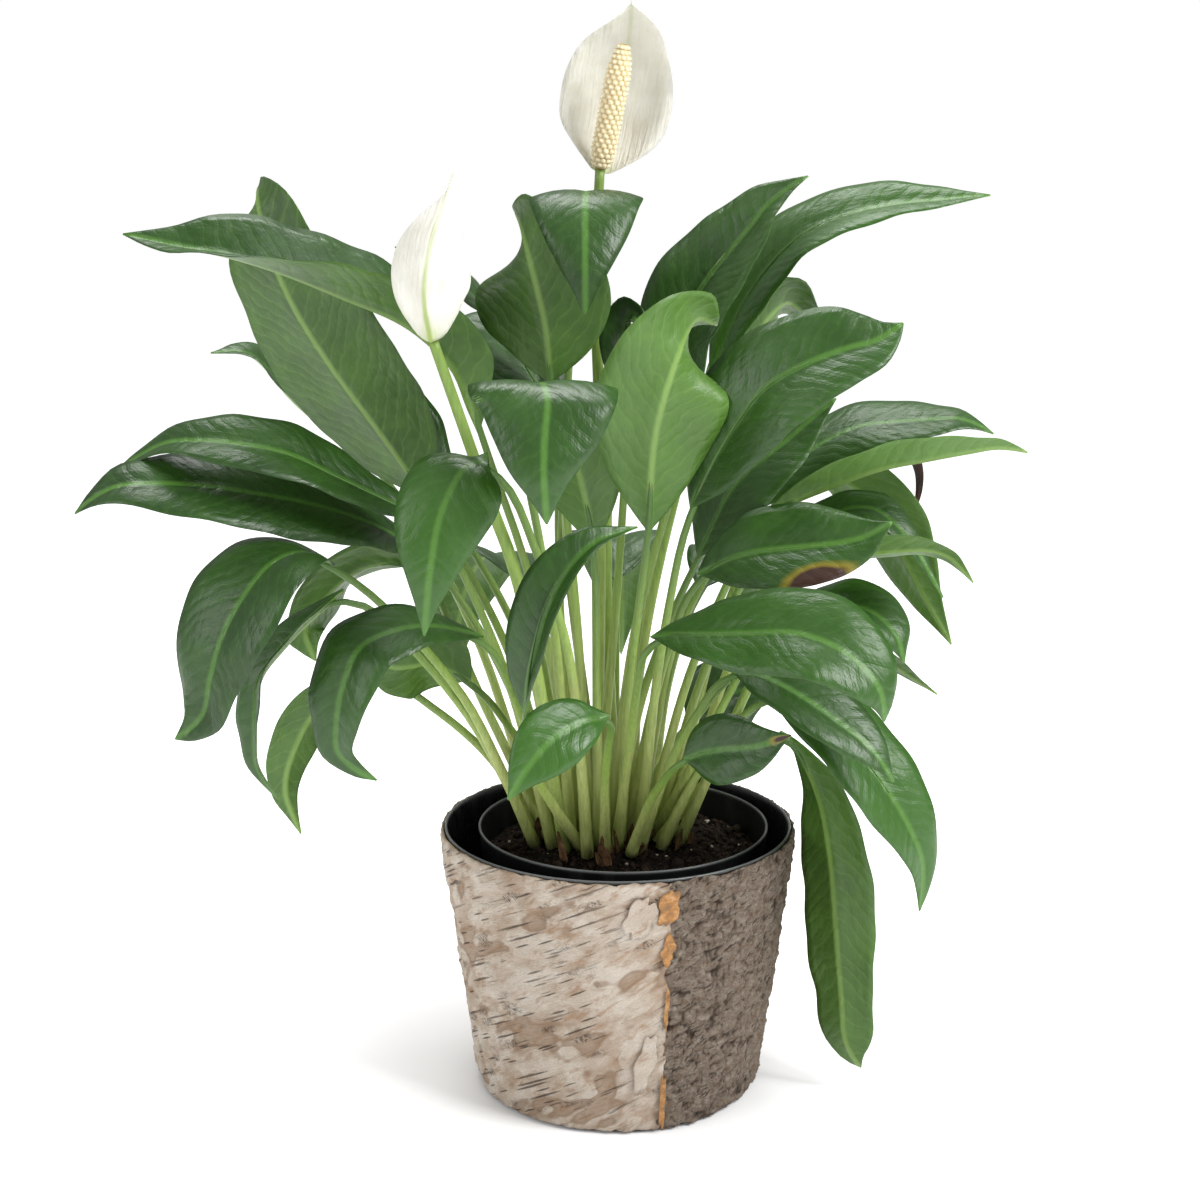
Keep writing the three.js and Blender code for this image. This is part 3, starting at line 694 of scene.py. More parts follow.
def plastic(name, colour, roughness, rim_height):
    finish = Finish(name, roughness=roughness)
    scuff = finish.noise(finish.coords(scale=(1, 1, 0.25)), 160.0, detail=4.0)
    fine = finish.noise(finish.coords(), 900.0, detail=2.0)
    dust = finish.ramp(scuff, (0.55, 0.0), (0.85, 0.10))
    # The top of the lip, the band that worn marks, is painted paler: a painted highlight along the rim.
    height = finish.parts(finish.coords())[2]
    worn = finish.ramp(finish.maths("SUBTRACT", height, rim_height - 0.0012), (0.0, 0.0), (0.0008, 1.0))
    body = finish.mix(dust, colour, (0.25, 0.25, 0.24))
    body = finish.mix(finish.maths("MULTIPLY", worn, 0.8), body, (0.46, 0.48, 0.48))
    finish.colour(body)
    finish.rough(finish.maths("MULTIPLY_ADD", scuff, 0.25, roughness - 0.1))
    finish.bump((scuff, 0.0002), (fine, 0.00006))
    return finish.material


cover_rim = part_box("cover_pot")[1].z
inner_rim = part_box("nursery_pot")[1].z
cover_black = plastic("cover_pot_plastic", (0.006, 0.007, 0.007), 0.26, cover_rim)
inner_black = plastic("nursery_pot_plastic", (0.009, 0.010, 0.010), 0.36, inner_rim)
cover_shell = pot("cover_pot", "cover_pot_shell", wall=0.0014, lip=0.0010, floor_thick=0.0020)
finished(cover_shell, cover_black, ["cover_pot"], smooth=40)
nursery_shell = pot("nursery_pot", "nursery_pot_shell", wall=0.0010, lip=0.0010, floor_thick=0.0012)
finished(nursery_shell, inner_black, ["nursery_pot"], smooth=40)

# ---- soil ----


def soil_finish():
    finish = Finish("potting_soil", roughness=0.95, specular=0.2)
    lump = finish.noise(finish.coords(), 160.0, detail=6.0, rough=0.7)
    grain = finish.noise(finish.coords(), 900.0, detail=4.0, rough=0.7)
    chips = finish.cells(finish.coords(), 420.0)
    body = finish.ramp(
        lump,
        (0.3, (0.0035, 0.0025, 0.002)),
        (0.55, (0.014, 0.009, 0.006)),
        (0.8, (0.045, 0.028, 0.018)),
    )
    body = finish.mix(finish.ramp(chips, (0.10, 0.5), (0.22, 0.0)), body, (0.075, 0.045, 0.028))
    finish.colour(body)
    finish.bump((lump, 0.002), (grain, 0.0008))
    return finish.material


soil_dark = soil_finish()


def crumb_finish(name, dark, light):
    finish = Finish(name, roughness=0.95, specular=0.2)
    shade = finish.noise(finish.coords(), 220.0, detail=4.0)
    finish.colour(finish.ramp(shade, (0.3, dark), (0.75, light)))
    grain = finish.noise(finish.coords(), 1500.0, detail=3.0)
    finish.bump((grain, 0.0004))
    return finish.material


soil_crumb = crumb_finish("soil_crumbs", (0.005, 0.0035, 0.003), (0.050, 0.030, 0.020))
pale_grit = crumb_finish("pale_grit", (0.30, 0.27, 0.22), (0.62, 0.59, 0.52))
sheath_brown = crumb_finish("dry_sheath", (0.060, 0.026, 0.012), (0.30, 0.17, 0.085))


crown_low, crown_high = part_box("crown")
crown_middle = (crown_low + crown_high) / 2
crown_half = (crown_high - crown_low) / 2
soil_middle = middle_of("potting_soil")
soil_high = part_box("potting_soil")[1]


def mound_height(x, y):
    """Height of the soil: level, with lumps, and raised over the crown that the stalks stand on."""
    out = math.hypot((x - crown_middle.x) / crown_half.x, (y - crown_middle.y) / crown_half.y)
    rise = (crown_high.z - soil_high.z + 0.0006) * (1 - smooth_step(0.75, 1.12, out))
    spot = Vector((x, y, 0))
    lumps = 0.0022 * noise.noise(spot * 110) + 0.0014 * noise.noise(spot * 320)
    lumps += 0.0008 * noise.noise(spot * 800)
    return rise + lumps


def soil_body():
    low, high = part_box("potting_soil")
    centre = middle_of("potting_soil")
    top = high.z - 0.0016
    edge = radius_at("potting_soil", high.z - 0.001, centre)
    foot = radius_at("potting_soil", low.z + 0.001, centre)
    rings = 46
    profile = [(0.00001, low.z), (foot, low.z), (edge, top - 0.001)]
    profile += [(max(0.00001, edge * (1 - k / rings)), top) for k in range(1, rings + 1)]
    piece = turned("potting_soil_bed", centre, profile)
    world = piece.matrix_world
    for v in piece.data.vertices:
        place = world @ v.co
        if place.z > top - 0.0005:
            v.co.z += mound_height(place.x, place.y)
    return finished(piece, soil_dark, ["potting_soil", "crown"])


soil_body()


def scattered(name, finish, count, seed, size, spread, spots, flat=0.7):
    """Many small lumps as one piece: one lump is shaped and copied, turned and sized at random."""
    chance = random.Random(seed)
    deselect()
    bpy.ops.mesh.primitive_ico_sphere_add(subdivisions=1, radius=1)
    lump = bpy.context.object
    shape = [v.co.copy() for v in lump.data.vertices]
    sides = [tuple(p.vertices) for p in lump.data.polygons]
    bpy.data.objects.remove(lump)
    points, faces = [], []
    for _ in range(count):
        place = spots(chance)
        girth = size * math.exp(chance.gauss(0, spread))
        aim = Vector((chance.uniform(-1, 1), chance.uniform(-1, 1), chance.uniform(-1, 1)))
        turn = aim.to_track_quat("Z", "Y")
        first = len(points)
        for p in shape:
            pressed = Vector((p.x, p.y * chance.uniform(0.55, 1.0), p.z * flat))
            points.append(place + turn @ pressed * girth * chance.uniform(0.75, 1.2))
        faces += [tuple(first + v for v in side) for side in sides]
    piece = mesh_object(name, points, faces, [finish])
    return piece


def on_soil(chance):
    edge = (soil_high.x - soil_middle[0]) * 0.955
    radius, angle = edge * math.sqrt(chance.random()), chance.uniform(0, 2 * math.pi)
    x, y = soil_middle[0] + radius * math.cos(angle), soil_middle[1] + radius * math.sin(angle)
    return Vector((x, y, soil_high.z - 0.0014 + mound_height(x, y)))


scattered("soil_lumps", soil_crumb, 2200, 5, 0.0011, 0.45, on_soil)
scattered("soil_grit", pale_grit, 130, 6, 0.0007, 0.35, on_soil)

# ---- birch bark ----

cream = (0.480, 0.395, 0.315)
pink_tan = (0.380, 0.275, 0.195)
bark_brown = (0.230, 0.140, 0.080)
pale_skin = (0.600, 0.540, 0.465)
mark_brown = (0.050, 0.032, 0.022)
inner_orange = (0.500, 0.250, 0.085)
rust_brown = (0.300, 0.155, 0.065)
inner_brown = (0.360, 0.180, 0.070)
inner_pale = (0.580, 0.400, 0.240)
plate_grey = (0.300, 0.230, 0.175)
plate_pale = (0.520, 0.445, 0.365)
crack_dark = (0.030, 0.018, 0.012)
grain_slant = 27.0  # degrees that the bark's marks climb towards the right
# UV on the bark: round the pot and up it, each in units of 100 mm.


def dashes(finish, length, height, seed, reach, kept):
    """Thin slanting marks: 1 on a mark. Only the share kept of the places has one."""
    at = finish.coords(
        scale=(0.1 / length, 0.1 / height, 1),
        turn=-grain_slant,
        uv=True,
        place=(seed, seed * 0.7, seed),
    )
    spots = finish.node("ShaderNodeTexVoronoi")
    finish.put(at, spots.inputs["Vector"])
    spots.inputs["Scale"].default_value = 1.0
    frayed = finish.noise(finish.coords(scale=(3, 2, 1), uv=True), 70.0, detail=5.0, rough=0.7)
    worn = finish.maths("MULTIPLY_ADD", frayed, 0.30, -0.15)
    near = finish.maths("ADD", spots.outputs["Distance"], worn)
    chosen = finish.ramp(
        finish.parts(spots.outputs["Color"])[0], (1 - kept - 0.01, 0.0), (1 - kept, 1.0)
    )
    return finish.maths("MULTIPLY", finish.ramp(near, (reach * 0.6, 1.0), (reach, 0.0)), chosen)


def hatches(finish, length, height, seed, kept):
    """Tufts of short dark cracks that cross the grain."""
    tuft = dashes(finish, length, height, seed, 0.42, kept)
    lines = finish.noise(
        finish.coords(scale=(7, 1, 1), turn=-grain_slant - 14, uv=True), 42.0, detail=3.0, rough=0.6
    )
    return finish.maths("MULTIPLY", tuft, finish.ramp(lines, (0.52, 0.0), (0.60, 1.0)))


def smooth_bark_finish(name, peeled):
    finish = Finish(name, roughness=0.78, specular=0.3)
    layer = finish.attribute("tone")
    marks = finish.attribute("marks")
    cloud = finish.noise(
        finish.coords(scale=(1, 1.6, 1), turn=-grain_slant, uv=True), 6.0, detail=5.0, rough=0.65
    )
    grain = finish.noise(
        finish.coords(scale=(1, 7, 1), turn=-grain_slant, uv=True), 22.0, detail=6.0, rough=0.7
    )
    fine = finish.noise(finish.coords(uv=True), 130.0, detail=5.0, rough=0.7)
    body = finish.ramp(cloud, (0.32, pink_tan), (0.48, cream), (0.62, pale_skin))
    low_layer = finish.ramp(grain, (0.35, bark_brown), (0.6, pink_tan))
    body = finish.mix(finish.ramp(layer, (0.26, 0.75), (0.42, 0.0)), body, low_layer)
    body = finish.mix(finish.ramp(layer, (0.72, 0.0), (0.8, 0.5)), body, pale_skin)
    streaks = finish.noise(
        finish.coords(scale=(1, 2.6, 1), turn=-grain_slant - 12, uv=True), 7.5, detail=7.0, rough=0.65
    )
    body = finish.mix(finish.ramp(streaks, (0.54, 0.0), (0.66, 0.6)), body, rust_brown)
    edge = finish.ramp(
        finish.maths("ABSOLUTE", finish.maths("SUBTRACT", layer, 0.36)), (0.0, 0.7), (0.09, 0.0)
    )
    body = finish.mix(edge, body, bark_brown)
    body = finish.mix(finish.ramp(grain, (0.55, 0.0), (0.8, 0.55)), body, bark_brown)
    body = finish.mix(finish.ramp(fine, (0.48, 0.0), (0.75, 0.42)), body, bark_brown)
    long_marks = dashes(finish, 0.034, 0.0016, 3.0, 0.34, 0.30)
    short_marks = dashes(finish, 0.013, 0.0013, 11.0, 0.34, 0.30)
    tufts = hatches(finish, 0.0140, 0.0056, 5.0, 0.45)
    both = finish.maths(
        "MAXIMUM", finish.maths("MULTIPLY", long_marks, 0.8), finish.maths("MULTIPLY", short_marks, 0.8)
    )
    shown = finish.maths("MULTIPLY", finish.maths("MAXIMUM", both, tufts), marks)
    body = finish.mix(shown, body, mark_brown)
    if peeled:
        mottle = finish.noise(finish.coords(uv=True), 26.0, detail=6.0, rough=0.7)
        oranges = ((0.36, bark_brown), (0.46, inner_brown), (0.55, inner_orange), (0.68, inner_pale))
        body = finish.ramp(mottle, *oranges)
    finish.colour(body)
    dents = finish.maths("SUBTRACT", 1.0, shown)
    finish.bump((grain, 0.0009), (fine, 0.00035), (dents, 0.0006))
    return finish.material


def rough_bark_finish():
    finish = Finish("rough_bark", roughness=0.88, specular=0.2)
    plate = finish.attribute("tone")
    lumps = finish.noise(finish.coords(uv=True), 20.0, detail=9.0, rough=0.78)
    fine = finish.noise(finish.coords(uv=True), 140.0, detail=5.0, rough=0.75)
    ridges = finish.noise(
        finish.coords(scale=(1.0, 3.2, 1), turn=-8.0, uv=True), 30.0, detail=6.0, rough=0.7
    )
    body = finish.ramp(lumps, (0.32, bark_brown), (0.46, plate_grey), (0.66, plate_pale))
    body = finish.mix(finish.ramp(ridges, (0.3, 0.85), (0.46, 0.0)), body, (0.12, 0.075, 0.045))
    body = finish.mix(finish.ramp(fine, (0.5, 0.0), (0.8, 0.6)), body, crack_dark)
    body = finish.mix(finish.ramp(plate, (0.10, 0.9), (0.50, 0.0)), body, crack_dark)
    scratches = finish.maths(
        "MAXIMUM",
        hatches(finish, 0.008, 0.006, 7.0, 0.6),
        dashes(finish, 0.010, 0.0012, 9.0, 0.32, 0.4),
    )
    body = finish.mix(finish.maths("MULTIPLY", scratches, 0.7), body, crack_dark)
    finish.colour(body)
    finish.bump((ridges, 0.0022), (lumps, 0.0030), (fine, 0.0010))
    return finish.material


smooth_bark = smooth_bark_finish("smooth_bark", False)
peeled_bark = smooth_bark_finish("inner_bark", True)
rough_bark = rough_bark_finish()


def sheet_radii(node, angle):
    """Outer radius at the foot and at the top of a bark sheet, and its two heights."""
    tree = BVHTree.FromBMesh(copied_mesh(node))
    low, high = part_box(node)
    found = []
    for height in (low.z + 0.002, high.z - 0.002):
        out = Vector((math.cos(angle), math.sin(angle), 0))
        found.append((tree.ray_cast(out * 0.3 + Vector((0, 0, height)), -out)[0].to_2d()).length)
    return found[0], found[1], low.z, high.z


def spot_near(angle, height, place):
    """1 at a place on the pot, falling to 0 at its reach: (degrees, height, reach round, reach up)."""
    at_angle, at_height, wide, tall = place
    gap = (math.degrees(angle) - at_angle + 180) % 360 - 180
    return max(0.0, 1 - math.hypot(gap / wide, (height - at_height) / tall))


marked_places = [
    (-128, 0.020, 26, 0.022), (-150, 0.060, 34, 0.05), (-118, 0.105, 18, 0.02), (-105, 0.055, 14, 0.03)
]
clear_places = [(-90, 0.085, 16, 0.035), (-82, 0.03, 9, 0.05), (-112, 0.080, 10, 0.018)]
torn_places = [
    (-88, 0.100, 7, 0.012), (-84, 0.036, 7, 0.020), (-100, 0.066, 8, 0.010), (-122, 0.088, 8, 0.008)
]


def smooth_relief(angle, height, arc):
    """Depth, layer and marks of the smooth bark: thin layers that have peeled in patches."""
    slant = math.radians(grain_slant)
    along = arc * math.cos(slant) + height * math.sin(slant)
    up = height * math.cos(slant) - arc * math.sin(slant)
    broad = noise.noise(Vector((along * 26, up * 52, 3.1)))
    torn = noise.noise(Vector((along * 110, up * 190, 8.4)))
    rough = noise.noise(Vector((along * 330, up * 520, 1.7)))
    layer = 0.5 + 0.42 * broad + 0.20 * torn + 0.06 * rough
    for place in torn_places:
        layer += 0.55 * smooth_step(0.0, 0.5, spot_near(angle, height, place) + 0.25 * torn)
    layer = min(1.0, max(0.0, layer))
    depth = 0.00035 * smooth_step(0.30, 0.38, layer) + 0.0004 * smooth_step(0.70, 0.78, layer)
    depth += 0.00035 * torn + 0.00018 * rough + 0.0005 * broad
    marks = 0.62 + 0.9 * noise.noise(Vector((arc * 30, height * 30, 5.5)))
    marks += sum(0.9 * spot_near(angle, height, place) for place in marked_places)
    marks -= sum(0.8 * spot_near(angle, height, place) for place in clear_places)
    return depth, layer, min(1.0, max(0.0, marks))


def rough_relief(angle, height, arc):
    """Depth and plates of the rough bark: flaky plates with deep cracks between them."""
    bent = 0.35 * noise.noise(Vector((arc * 45, height * 45, 1.0)))
    wide = noise.noise(Vector((arc * 90 + bent, height * 130 + 2 * bent, 2.0)))
    tight = noise.noise(Vector((arc * 230 - bent, height * 420, 7.0)))
    upright = noise.noise(Vector((arc * 330, height * 90 + bent, 3.0)))
    crack = 0.45 + 0.55 * smooth_step(0.0, 0.14, abs(wide))
    crack *= 0.4 + 0.6 * smooth_step(0.0, 0.16, abs(tight))
    crack *= 0.45 + 0.55 * smooth_step(0.0, 0.14, abs(upright))
    lift = noise.noise(Vector((arc * 40, height * 70, 6.0)))
    flake = noise.noise(Vector((arc * 170, height * 300, 9.0)))
    small = noise.noise(Vector((arc * 520, height * 620, 4.0)))
    plate = min(1.0, max(0.0, crack * (0.85 + 0.6 * flake) + 0.15 * lift))
    depth = 0.0011 * plate + 0.0008 * lift + 0.0009 * flake + 0.0006 * small
    return depth, plate, 0.5


def bark_sheet(name, node, first_degrees, last_degrees, relief, finish, columns, rows, lift=0.0):
    first, last = math.radians(first_degrees), math.radians(last_degrees)
    foot, rim, bottom, top = sheet_radii(node, (first + last) / 2)
    thick = 0.0017
    points, uvs, tone, marks = [], [], [], []
    for i in range(columns + 1):
        u = i / columns
        outer, inner = [], []
        for j in range(rows + 1):
            v = j / rows
            height = bottom + (top - bottom) * v
            radius = foot + (rim - foot) * (height - bottom - 0.002) / (top - bottom - 0.004)
            fray = 0.0016 * noise.noise(Vector((height * 120, first_degrees, 0))) + 0.0010 * noise.noise(
                Vector((height * 420, first_degrees, 3))
            )
            angle = first + (last - first) * u + (fray / radius) * (1 - 2 * min(u, 1 - u)) ** 8
            arc = angle * 0.07
            ragged = noise.noise(Vector((arc * 90, v * 4, 1.0))) + 0.7 * noise.noise(
                Vector((arc * 300, v * 4, 2.0))
            )
            up = height + 0.0011 * (ragged if v > 0.5 else abs(ragged)) * (1 - 2 * min(v, 1 - v)) ** 10
            depth, layer, density = relief(angle, height, arc)
            curl = lift * (smooth_step(0.965, 1.0, u) + smooth_step(0.965, 1.0, 1 - u))
            worn = 0.5 * thick * ((1 - 2 * min(v, 1 - v)) ** 24 + (1 - 2 * min(u, 1 - u)) ** 60)
            out = radius - 0.0004 + depth + curl - worn
            outer.append(Vector((math.cos(angle) * out, math.sin(angle) * out, up)))
            back = radius - thick + curl * 0.9
            inner.append(Vector((math.cos(angle) * back, math.sin(angle) * back, up)))
            uvs.append((arc * 10, height * 10))
            tone.append(layer)
            marks.append(density)
        points += outer + inner[::-1]
        uvs += uvs[: -rows - 2 : -1]
        tone += [0.0] * (rows + 1)
        marks += [0.0] * (rows + 1)
    piece = mesh_object(name, points, banded(columns + 1, 2 * (rows + 1)), [finish], None, uvs, tone)
    layer = piece.data.attributes.new("marks", "FLOAT", "POINT")
    layer.data.foreach_set("value", marks)
    faced_out(piece)
    return piece


def faced_out(piece):
    shell = bmesh.new()
    shell.from_mesh(piece.data)
    bmesh.ops.recalc_face_normals(shell, faces=shell.faces)
    shell.to_mesh(piece.data)
    shell.free()


def seam_angles(node):
    """Where a bark sheet starts and ends, in degrees from +X; the end is past the start."""
    turns = sorted(
        {round(math.degrees(math.atan2(v.co.y, v.co.x)), 1) for v in nodes[node].data.vertices}
    )
    gaps = [(b - a, a, b) for a, b in zip(turns, turns[1:] + [turns[0] + 360])]
    _, end, start = max(gaps)
    return (start, end) if start < end else (start, end + 360)


front_seam, back_seam = seam_angles("bark_panel_rough")
smooth_sheet = bark_sheet(
    "bark_smooth_sheet",
    "bark_panel_smooth",
    back_seam - 360 + 0.4,
    front_seam + 1.0,
    smooth_relief,
    smooth_bark,
    300,
    125,
    0.0006,
)
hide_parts("bark_panel_smooth")
rough_sheet = bark_sheet(
    "bark_rough_sheet", "bark_panel_rough", front_seam, back_seam, rough_relief, rough_bark, 290, 125
)
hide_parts("bark_panel_rough")


flake_rise = 0.0012
flake_thick = 0.00025


def flake(name, finish, degrees, height, wide, tall, raise_by, seed, lean=0.0):
    """A torn scrap of bark that lies on the pot, its edge ragged and lifting."""
    chance = random.Random(seed)
    foot, rim, bottom, top = sheet_radii("bark_panel_rough", 0.0)
    points, uvs = [], []
    around, rings = 36, 6
    phase = [chance.uniform(0, 6.3) for _ in range(5)]
    for face in (1, 0):
        for k in range(rings + 1):
            for i in range(around):
                turn = 2 * math.pi * i / around
                waves = (math.sin(turn * (2 + 2 * n) + phase[n]) / (1 + 0.3 * n) for n in range(5))
                ragged = 1 + sum(0.13 * wave for wave in waves)
                reach = ragged * k / rings
                across, up = wide * reach * math.cos(turn), tall * reach * math.sin(turn)
                across, up = across + up * lean, up
                at_height = height + up
                radius = foot + (rim - foot) * (at_height - bottom) / (top - bottom)
                lift = raise_by * reach**3 * (0.6 + 0.4 * math.sin(turn * 3 + phase[0]))
                off = flake_rise + lift + flake_thick * face
                angle = math.radians(degrees) + across / radius
                out = radius + off
                points.append(Vector((math.cos(angle) * out, math.sin(angle) * out, at_height)))
                uvs.append((angle * 0.7, at_height * 10))
    faces = []
    size = around * (rings + 1)
    for k in range(rings):
        for i in range(around):
            a, b = k * around + i, k * around + (i + 1) % around
            faces.append((a, a + around, b + around, b))
            faces.append((size + a, size + b, size + b + around, size + a + around))
    for i in range(around):
        a, b = rings * around + i, rings * around + (i + 1) % around
        faces.append((a, size + a, size + b, b))
    piece = mesh_object(name, points, faces, [finish], None, uvs, [0.9] * len(points))
    shell = bmesh.new()
    shell.from_mesh(piece.data)
    bmesh.ops.remove_doubles(shell, verts=shell.verts, dist=1e-5)
    bmesh.ops.recalc_face_normals(shell, faces=shell.faces)
    shell.to_mesh(piece.data)
    shell.free()
    return piece


flake("inner_bark_top", peeled_bark, front_seam - 0.2, 0.110, 0.0042, 0.0090, 0.0003, 21)
flake("inner_bark_upper", peeled_bark, front_seam + 0.2, 0.090, 0.0028, 0.0072, 0.0003, 22)
flake("inner_bark_middle", peeled_bark, front_seam + 0.8, 0.062, 0.0010, 0.010, 0.0003, 23)
flake("inner_bark_low", peeled_bark, front_seam + 0.9, 0.016, 0.0015, 0.012, 0.0003, 24)
flake("torn_skin_top", smooth_bark, front_seam - 9, 0.106, 0.0060, 0.010, 0.0008, 25, 0.3)
flake("torn_skin_side", smooth_bark, front_seam - 6, 0.036, 0.0048, 0.012, 0.0007, 26, 0.2)

# ---- flowers ----


def spathe_finish():
    finish = Finish("spathe_white", roughness=0.55, specular=0.3)
    across, along, _ = finish.parts(finish.coords(uv=True))
    out = finish.maths("ABSOLUTE", across)
    veins = finish.noise(finish.coords(scale=(14, 1, 1), uv=True), 6.0, detail=3.0)
    soft = finish.noise(finish.coords(), 70.0, detail=3.0)
    body = finish.ramp(soft, (0.3, (0.66, 0.64, 0.55)), (0.7, (0.80, 0.79, 0.73)))
    body = finish.mix(finish.ramp(veins, (0.5, 0.0), (0.75, 0.25)), body, (0.55, 0.56, 0.42))
    # Green runs up the midrib from the foot and fades out.
    mid = finish.ramp(out, (0.004, 1.0), (0.014, 0.0))
    rise = finish.ramp(along, (0.05, 1.0), (0.55, 0.25))
    body = finish.mix(finish.maths("MULTIPLY", mid, rise), body, (0.34, 0.46, 0.12))
    foot = finish.ramp(
        finish.maths("ADD", along, finish.maths("MULTIPLY", out, 2.2)), (0.04, 1.0), (0.20, 0.0)
    )
    body = finish.mix(finish.maths("MULTIPLY", foot, 0.8), body, (0.38, 0.48, 0.15))
    finish.colour(body)
    finish.shader.inputs["Subsurface Weight"].default_value = 0.15
    finish.shader.inputs["Subsurface Radius"].default_value = (0.004, 0.004, 0.003)
    finish.bump((veins, 0.0009), (soft, 0.0006))
    return finish.material


def spadix_finish():
    finish = Finish("spadix_florets", roughness=0.7, specular=0.3)
    tone = finish.attribute("tone")
    soft = finish.noise(finish.coords(), 700.0, detail=3.0)
    # Brown at low tone to cream at high: the low end is painted shade at the florets' feet and on the
    # core.
    body = finish.ramp(
        tone, (0.0, (0.30, 0.20, 0.08)), (0.45, (0.60, 0.46, 0.22)), (0.85, (0.82, 0.74, 0.52))
    )
    body = finish.mix(finish.ramp(soft, (0.45, 0.0), (0.8, 0.5)), body, (0.38, 0.24, 0.09))
    finish.colour(body)
    finish.bump((soft, 0.0003))
    return finish.material


spathe_white = spathe_finish()
spadix_cream = spadix_finish()


def flower_stalk(number):
    name = f"flower_stalk_{number}"
    foot = min(
        (v.co for v in nodes[name].data.vertices), key=lambda p: abs(p.z - foot_level - 0.3 * MM)
    )
    rings = rings_of(name, foot.copy())
    centres = [middle(r) for r in rings]
    places = run_lengths(centres)
    steps = 60
    path = [spline(centres, places, places[-1] * i / steps) for i in range(steps + 1)]
    widths = [sum((p - c).length for p in r) / ring_size for c, r in zip(centres, rings)]
    width_points = [Vector((w, 0, 0)) for w in widths]
    girth = [spline(width_points, places, places[-1] * i / steps).x for i in range(steps + 1)]
    points, faces = tube(path, girth, 18)
    tone = [0.35 + 0.35 * i / steps for i in range(steps + 1) for _ in range(18)]
    uvs = [(k / 18, i / steps) for i in range(steps + 1) for k in range(18)]
    piece = mesh_object(name + "_fine", points, faces, [leaf_stalk], None, uvs, tone)
    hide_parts(name)
    return centres[-1]


def spathe(number, stalk_top):
    name = f"spathe_{number}"
    rings = rings_of(name, stalk_top)
    half = max(rings, key=lambda r: (r[0] - r[4]).length)
    hollow = (half[0] + half[4]) / 2 - (half[2] + half[6]) / 2
    if hollow.dot(half[2] - half[6]) < 0:
        rings = [r[4:] + r[:4] for r in rings]
    neck = middle(rings[0]).lerp(stalk_top, 0.6)
    points, faces, _, uvs, _ = blade(
        rings, neck, 40 + number, ripple=0.0005, arch=-0.05, half_thick=0.0003, keel=0.0005
    )
    piece = mesh_object(
        name + "_fine", points, faces, [spathe_white], [0] * len(faces), uvs, [0.5] * len(points)
    )
    faced_out(piece)
    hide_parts(name)


def spadix(number, stalk_top):
    """The flower spike: a core set with a spiral of small square florets, each with a blunt point."""
    name = f"spadix_{number}"
    rings = rings_of(name, stalk_top)
    foot, top = middle(rings[0]), middle(rings[-1])
    axis = (top - foot).normalized()
    length = (top - foot).length
    widest = max((p - middle(r)).length for r in rings for p in r)
    side = axis.orthogonal().normalized()
    other = axis.cross(side)

    def girth(share):
        return widest * min(1.0, 0.62 + 3.2 * share) * (1 - max(0.0, share - 0.72) ** 2 * 9.5)

    steps, around = 40, 32
    path = [foot - axis * 0.001] + [foot + axis * length * i / steps for i in range(steps + 1)]
    radii = [0.0022] + [girth(i / steps) * 0.72 for i in range(steps + 1)]
    points, faces = tube(path, radii, around)
    tone = [0.1] * len(points)
    floret = widest * 0.46
    rows = int(length / (floret * 0.80))
    per_row = int(2 * math.pi * widest * 0.9 / (floret * 1.12))
    for row in range(rows):
        for k in range(per_row):
            share = (row + 0.5) / rows
            turn = 2 * math.pi * (k + 0.5 * (row % 2)) / per_row + 0.02 * row
            out = side * math.cos(turn) + other * math.sin(turn)
            across = axis.cross(out)
            here = foot + axis * (share * length) + out * girth(share) * 0.70
            first = len(points)
            size = floret * 0.52 * (0.8 + 0.3 * min(1.0, girth(share) / widest))
            # Each floret is painted darker towards its foot, and the core darkest: painted shade between
            # the florets.
            tiers = [(0.0, 1.0, 0.15), (0.16, 1.0, 0.45), (0.30, 0.62, 0.7), (0.52, 0.26, 0.95)]
            for lift, wide, shade in tiers:
                for q in range(8):
                    bend = 2 * math.pi * q / 8
                    squared = 1 / max(abs(math.cos(bend)), abs(math.sin(bend))) ** 0.5
                    reach = size * wide * squared
                    aside = across * math.cos(bend) + axis * math.sin(bend)
                    points.append(here + out * (lift * floret * 1.25) + aside * reach)
                    tone.append(shade)
            faces += [tuple(v + first for v in face) for face in banded(len(tiers), 8)]
    piece = mesh_object(name + "_fine", points, faces, [spadix_cream], None, None, tone)
    faced_out(piece)
    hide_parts(name)


for flower in (1, 2, 3):
    stalk_top = flower_stalk(flower)
    spathe(flower, stalk_top)
    if f"spadix_{flower}" in nodes:
        spadix(flower, stalk_top)

# ---- old sheaths among the stalks ----


def sheath(name, centre, height, radius, spread, seed, lean):
    """A dry, split sheath that wraps part of the way round the foot of a stalk."""
    chance = random.Random(seed)
    points, uvs = [], []
    around, steps = 14, 12
    start = chance.uniform(0, 2 * math.pi)
    for k in range(steps + 1):
        share = k / steps
        outer, inner = [], []
        for i in range(around + 1):
            u = i / around - 0.5
            turn = start + u * spread * (1 - 0.75 * share**1.6)
            wide = radius * (1 + 0.35 * share + 0.1 * math.sin(9 * u + 5 * share + seed))
            up = height * share * (1 - 0.25 * abs(u) * share)
            spot = centre + Vector((math.cos(turn) * wide, math.sin(turn) * wide, up)) + lean * share
            outer.append(spot)
            inner.append(spot - Vector((math.cos(turn), math.sin(turn), 0)) * 0.00035)
            uvs.append((u, share))
        points += outer + inner[::-1]
        uvs += uvs[: -around - 2 : -1]
    piece = mesh_object(name, points, banded(steps + 1, 2 * (around + 1)), [sheath_brown], None, uvs)
    faced_out(piece)


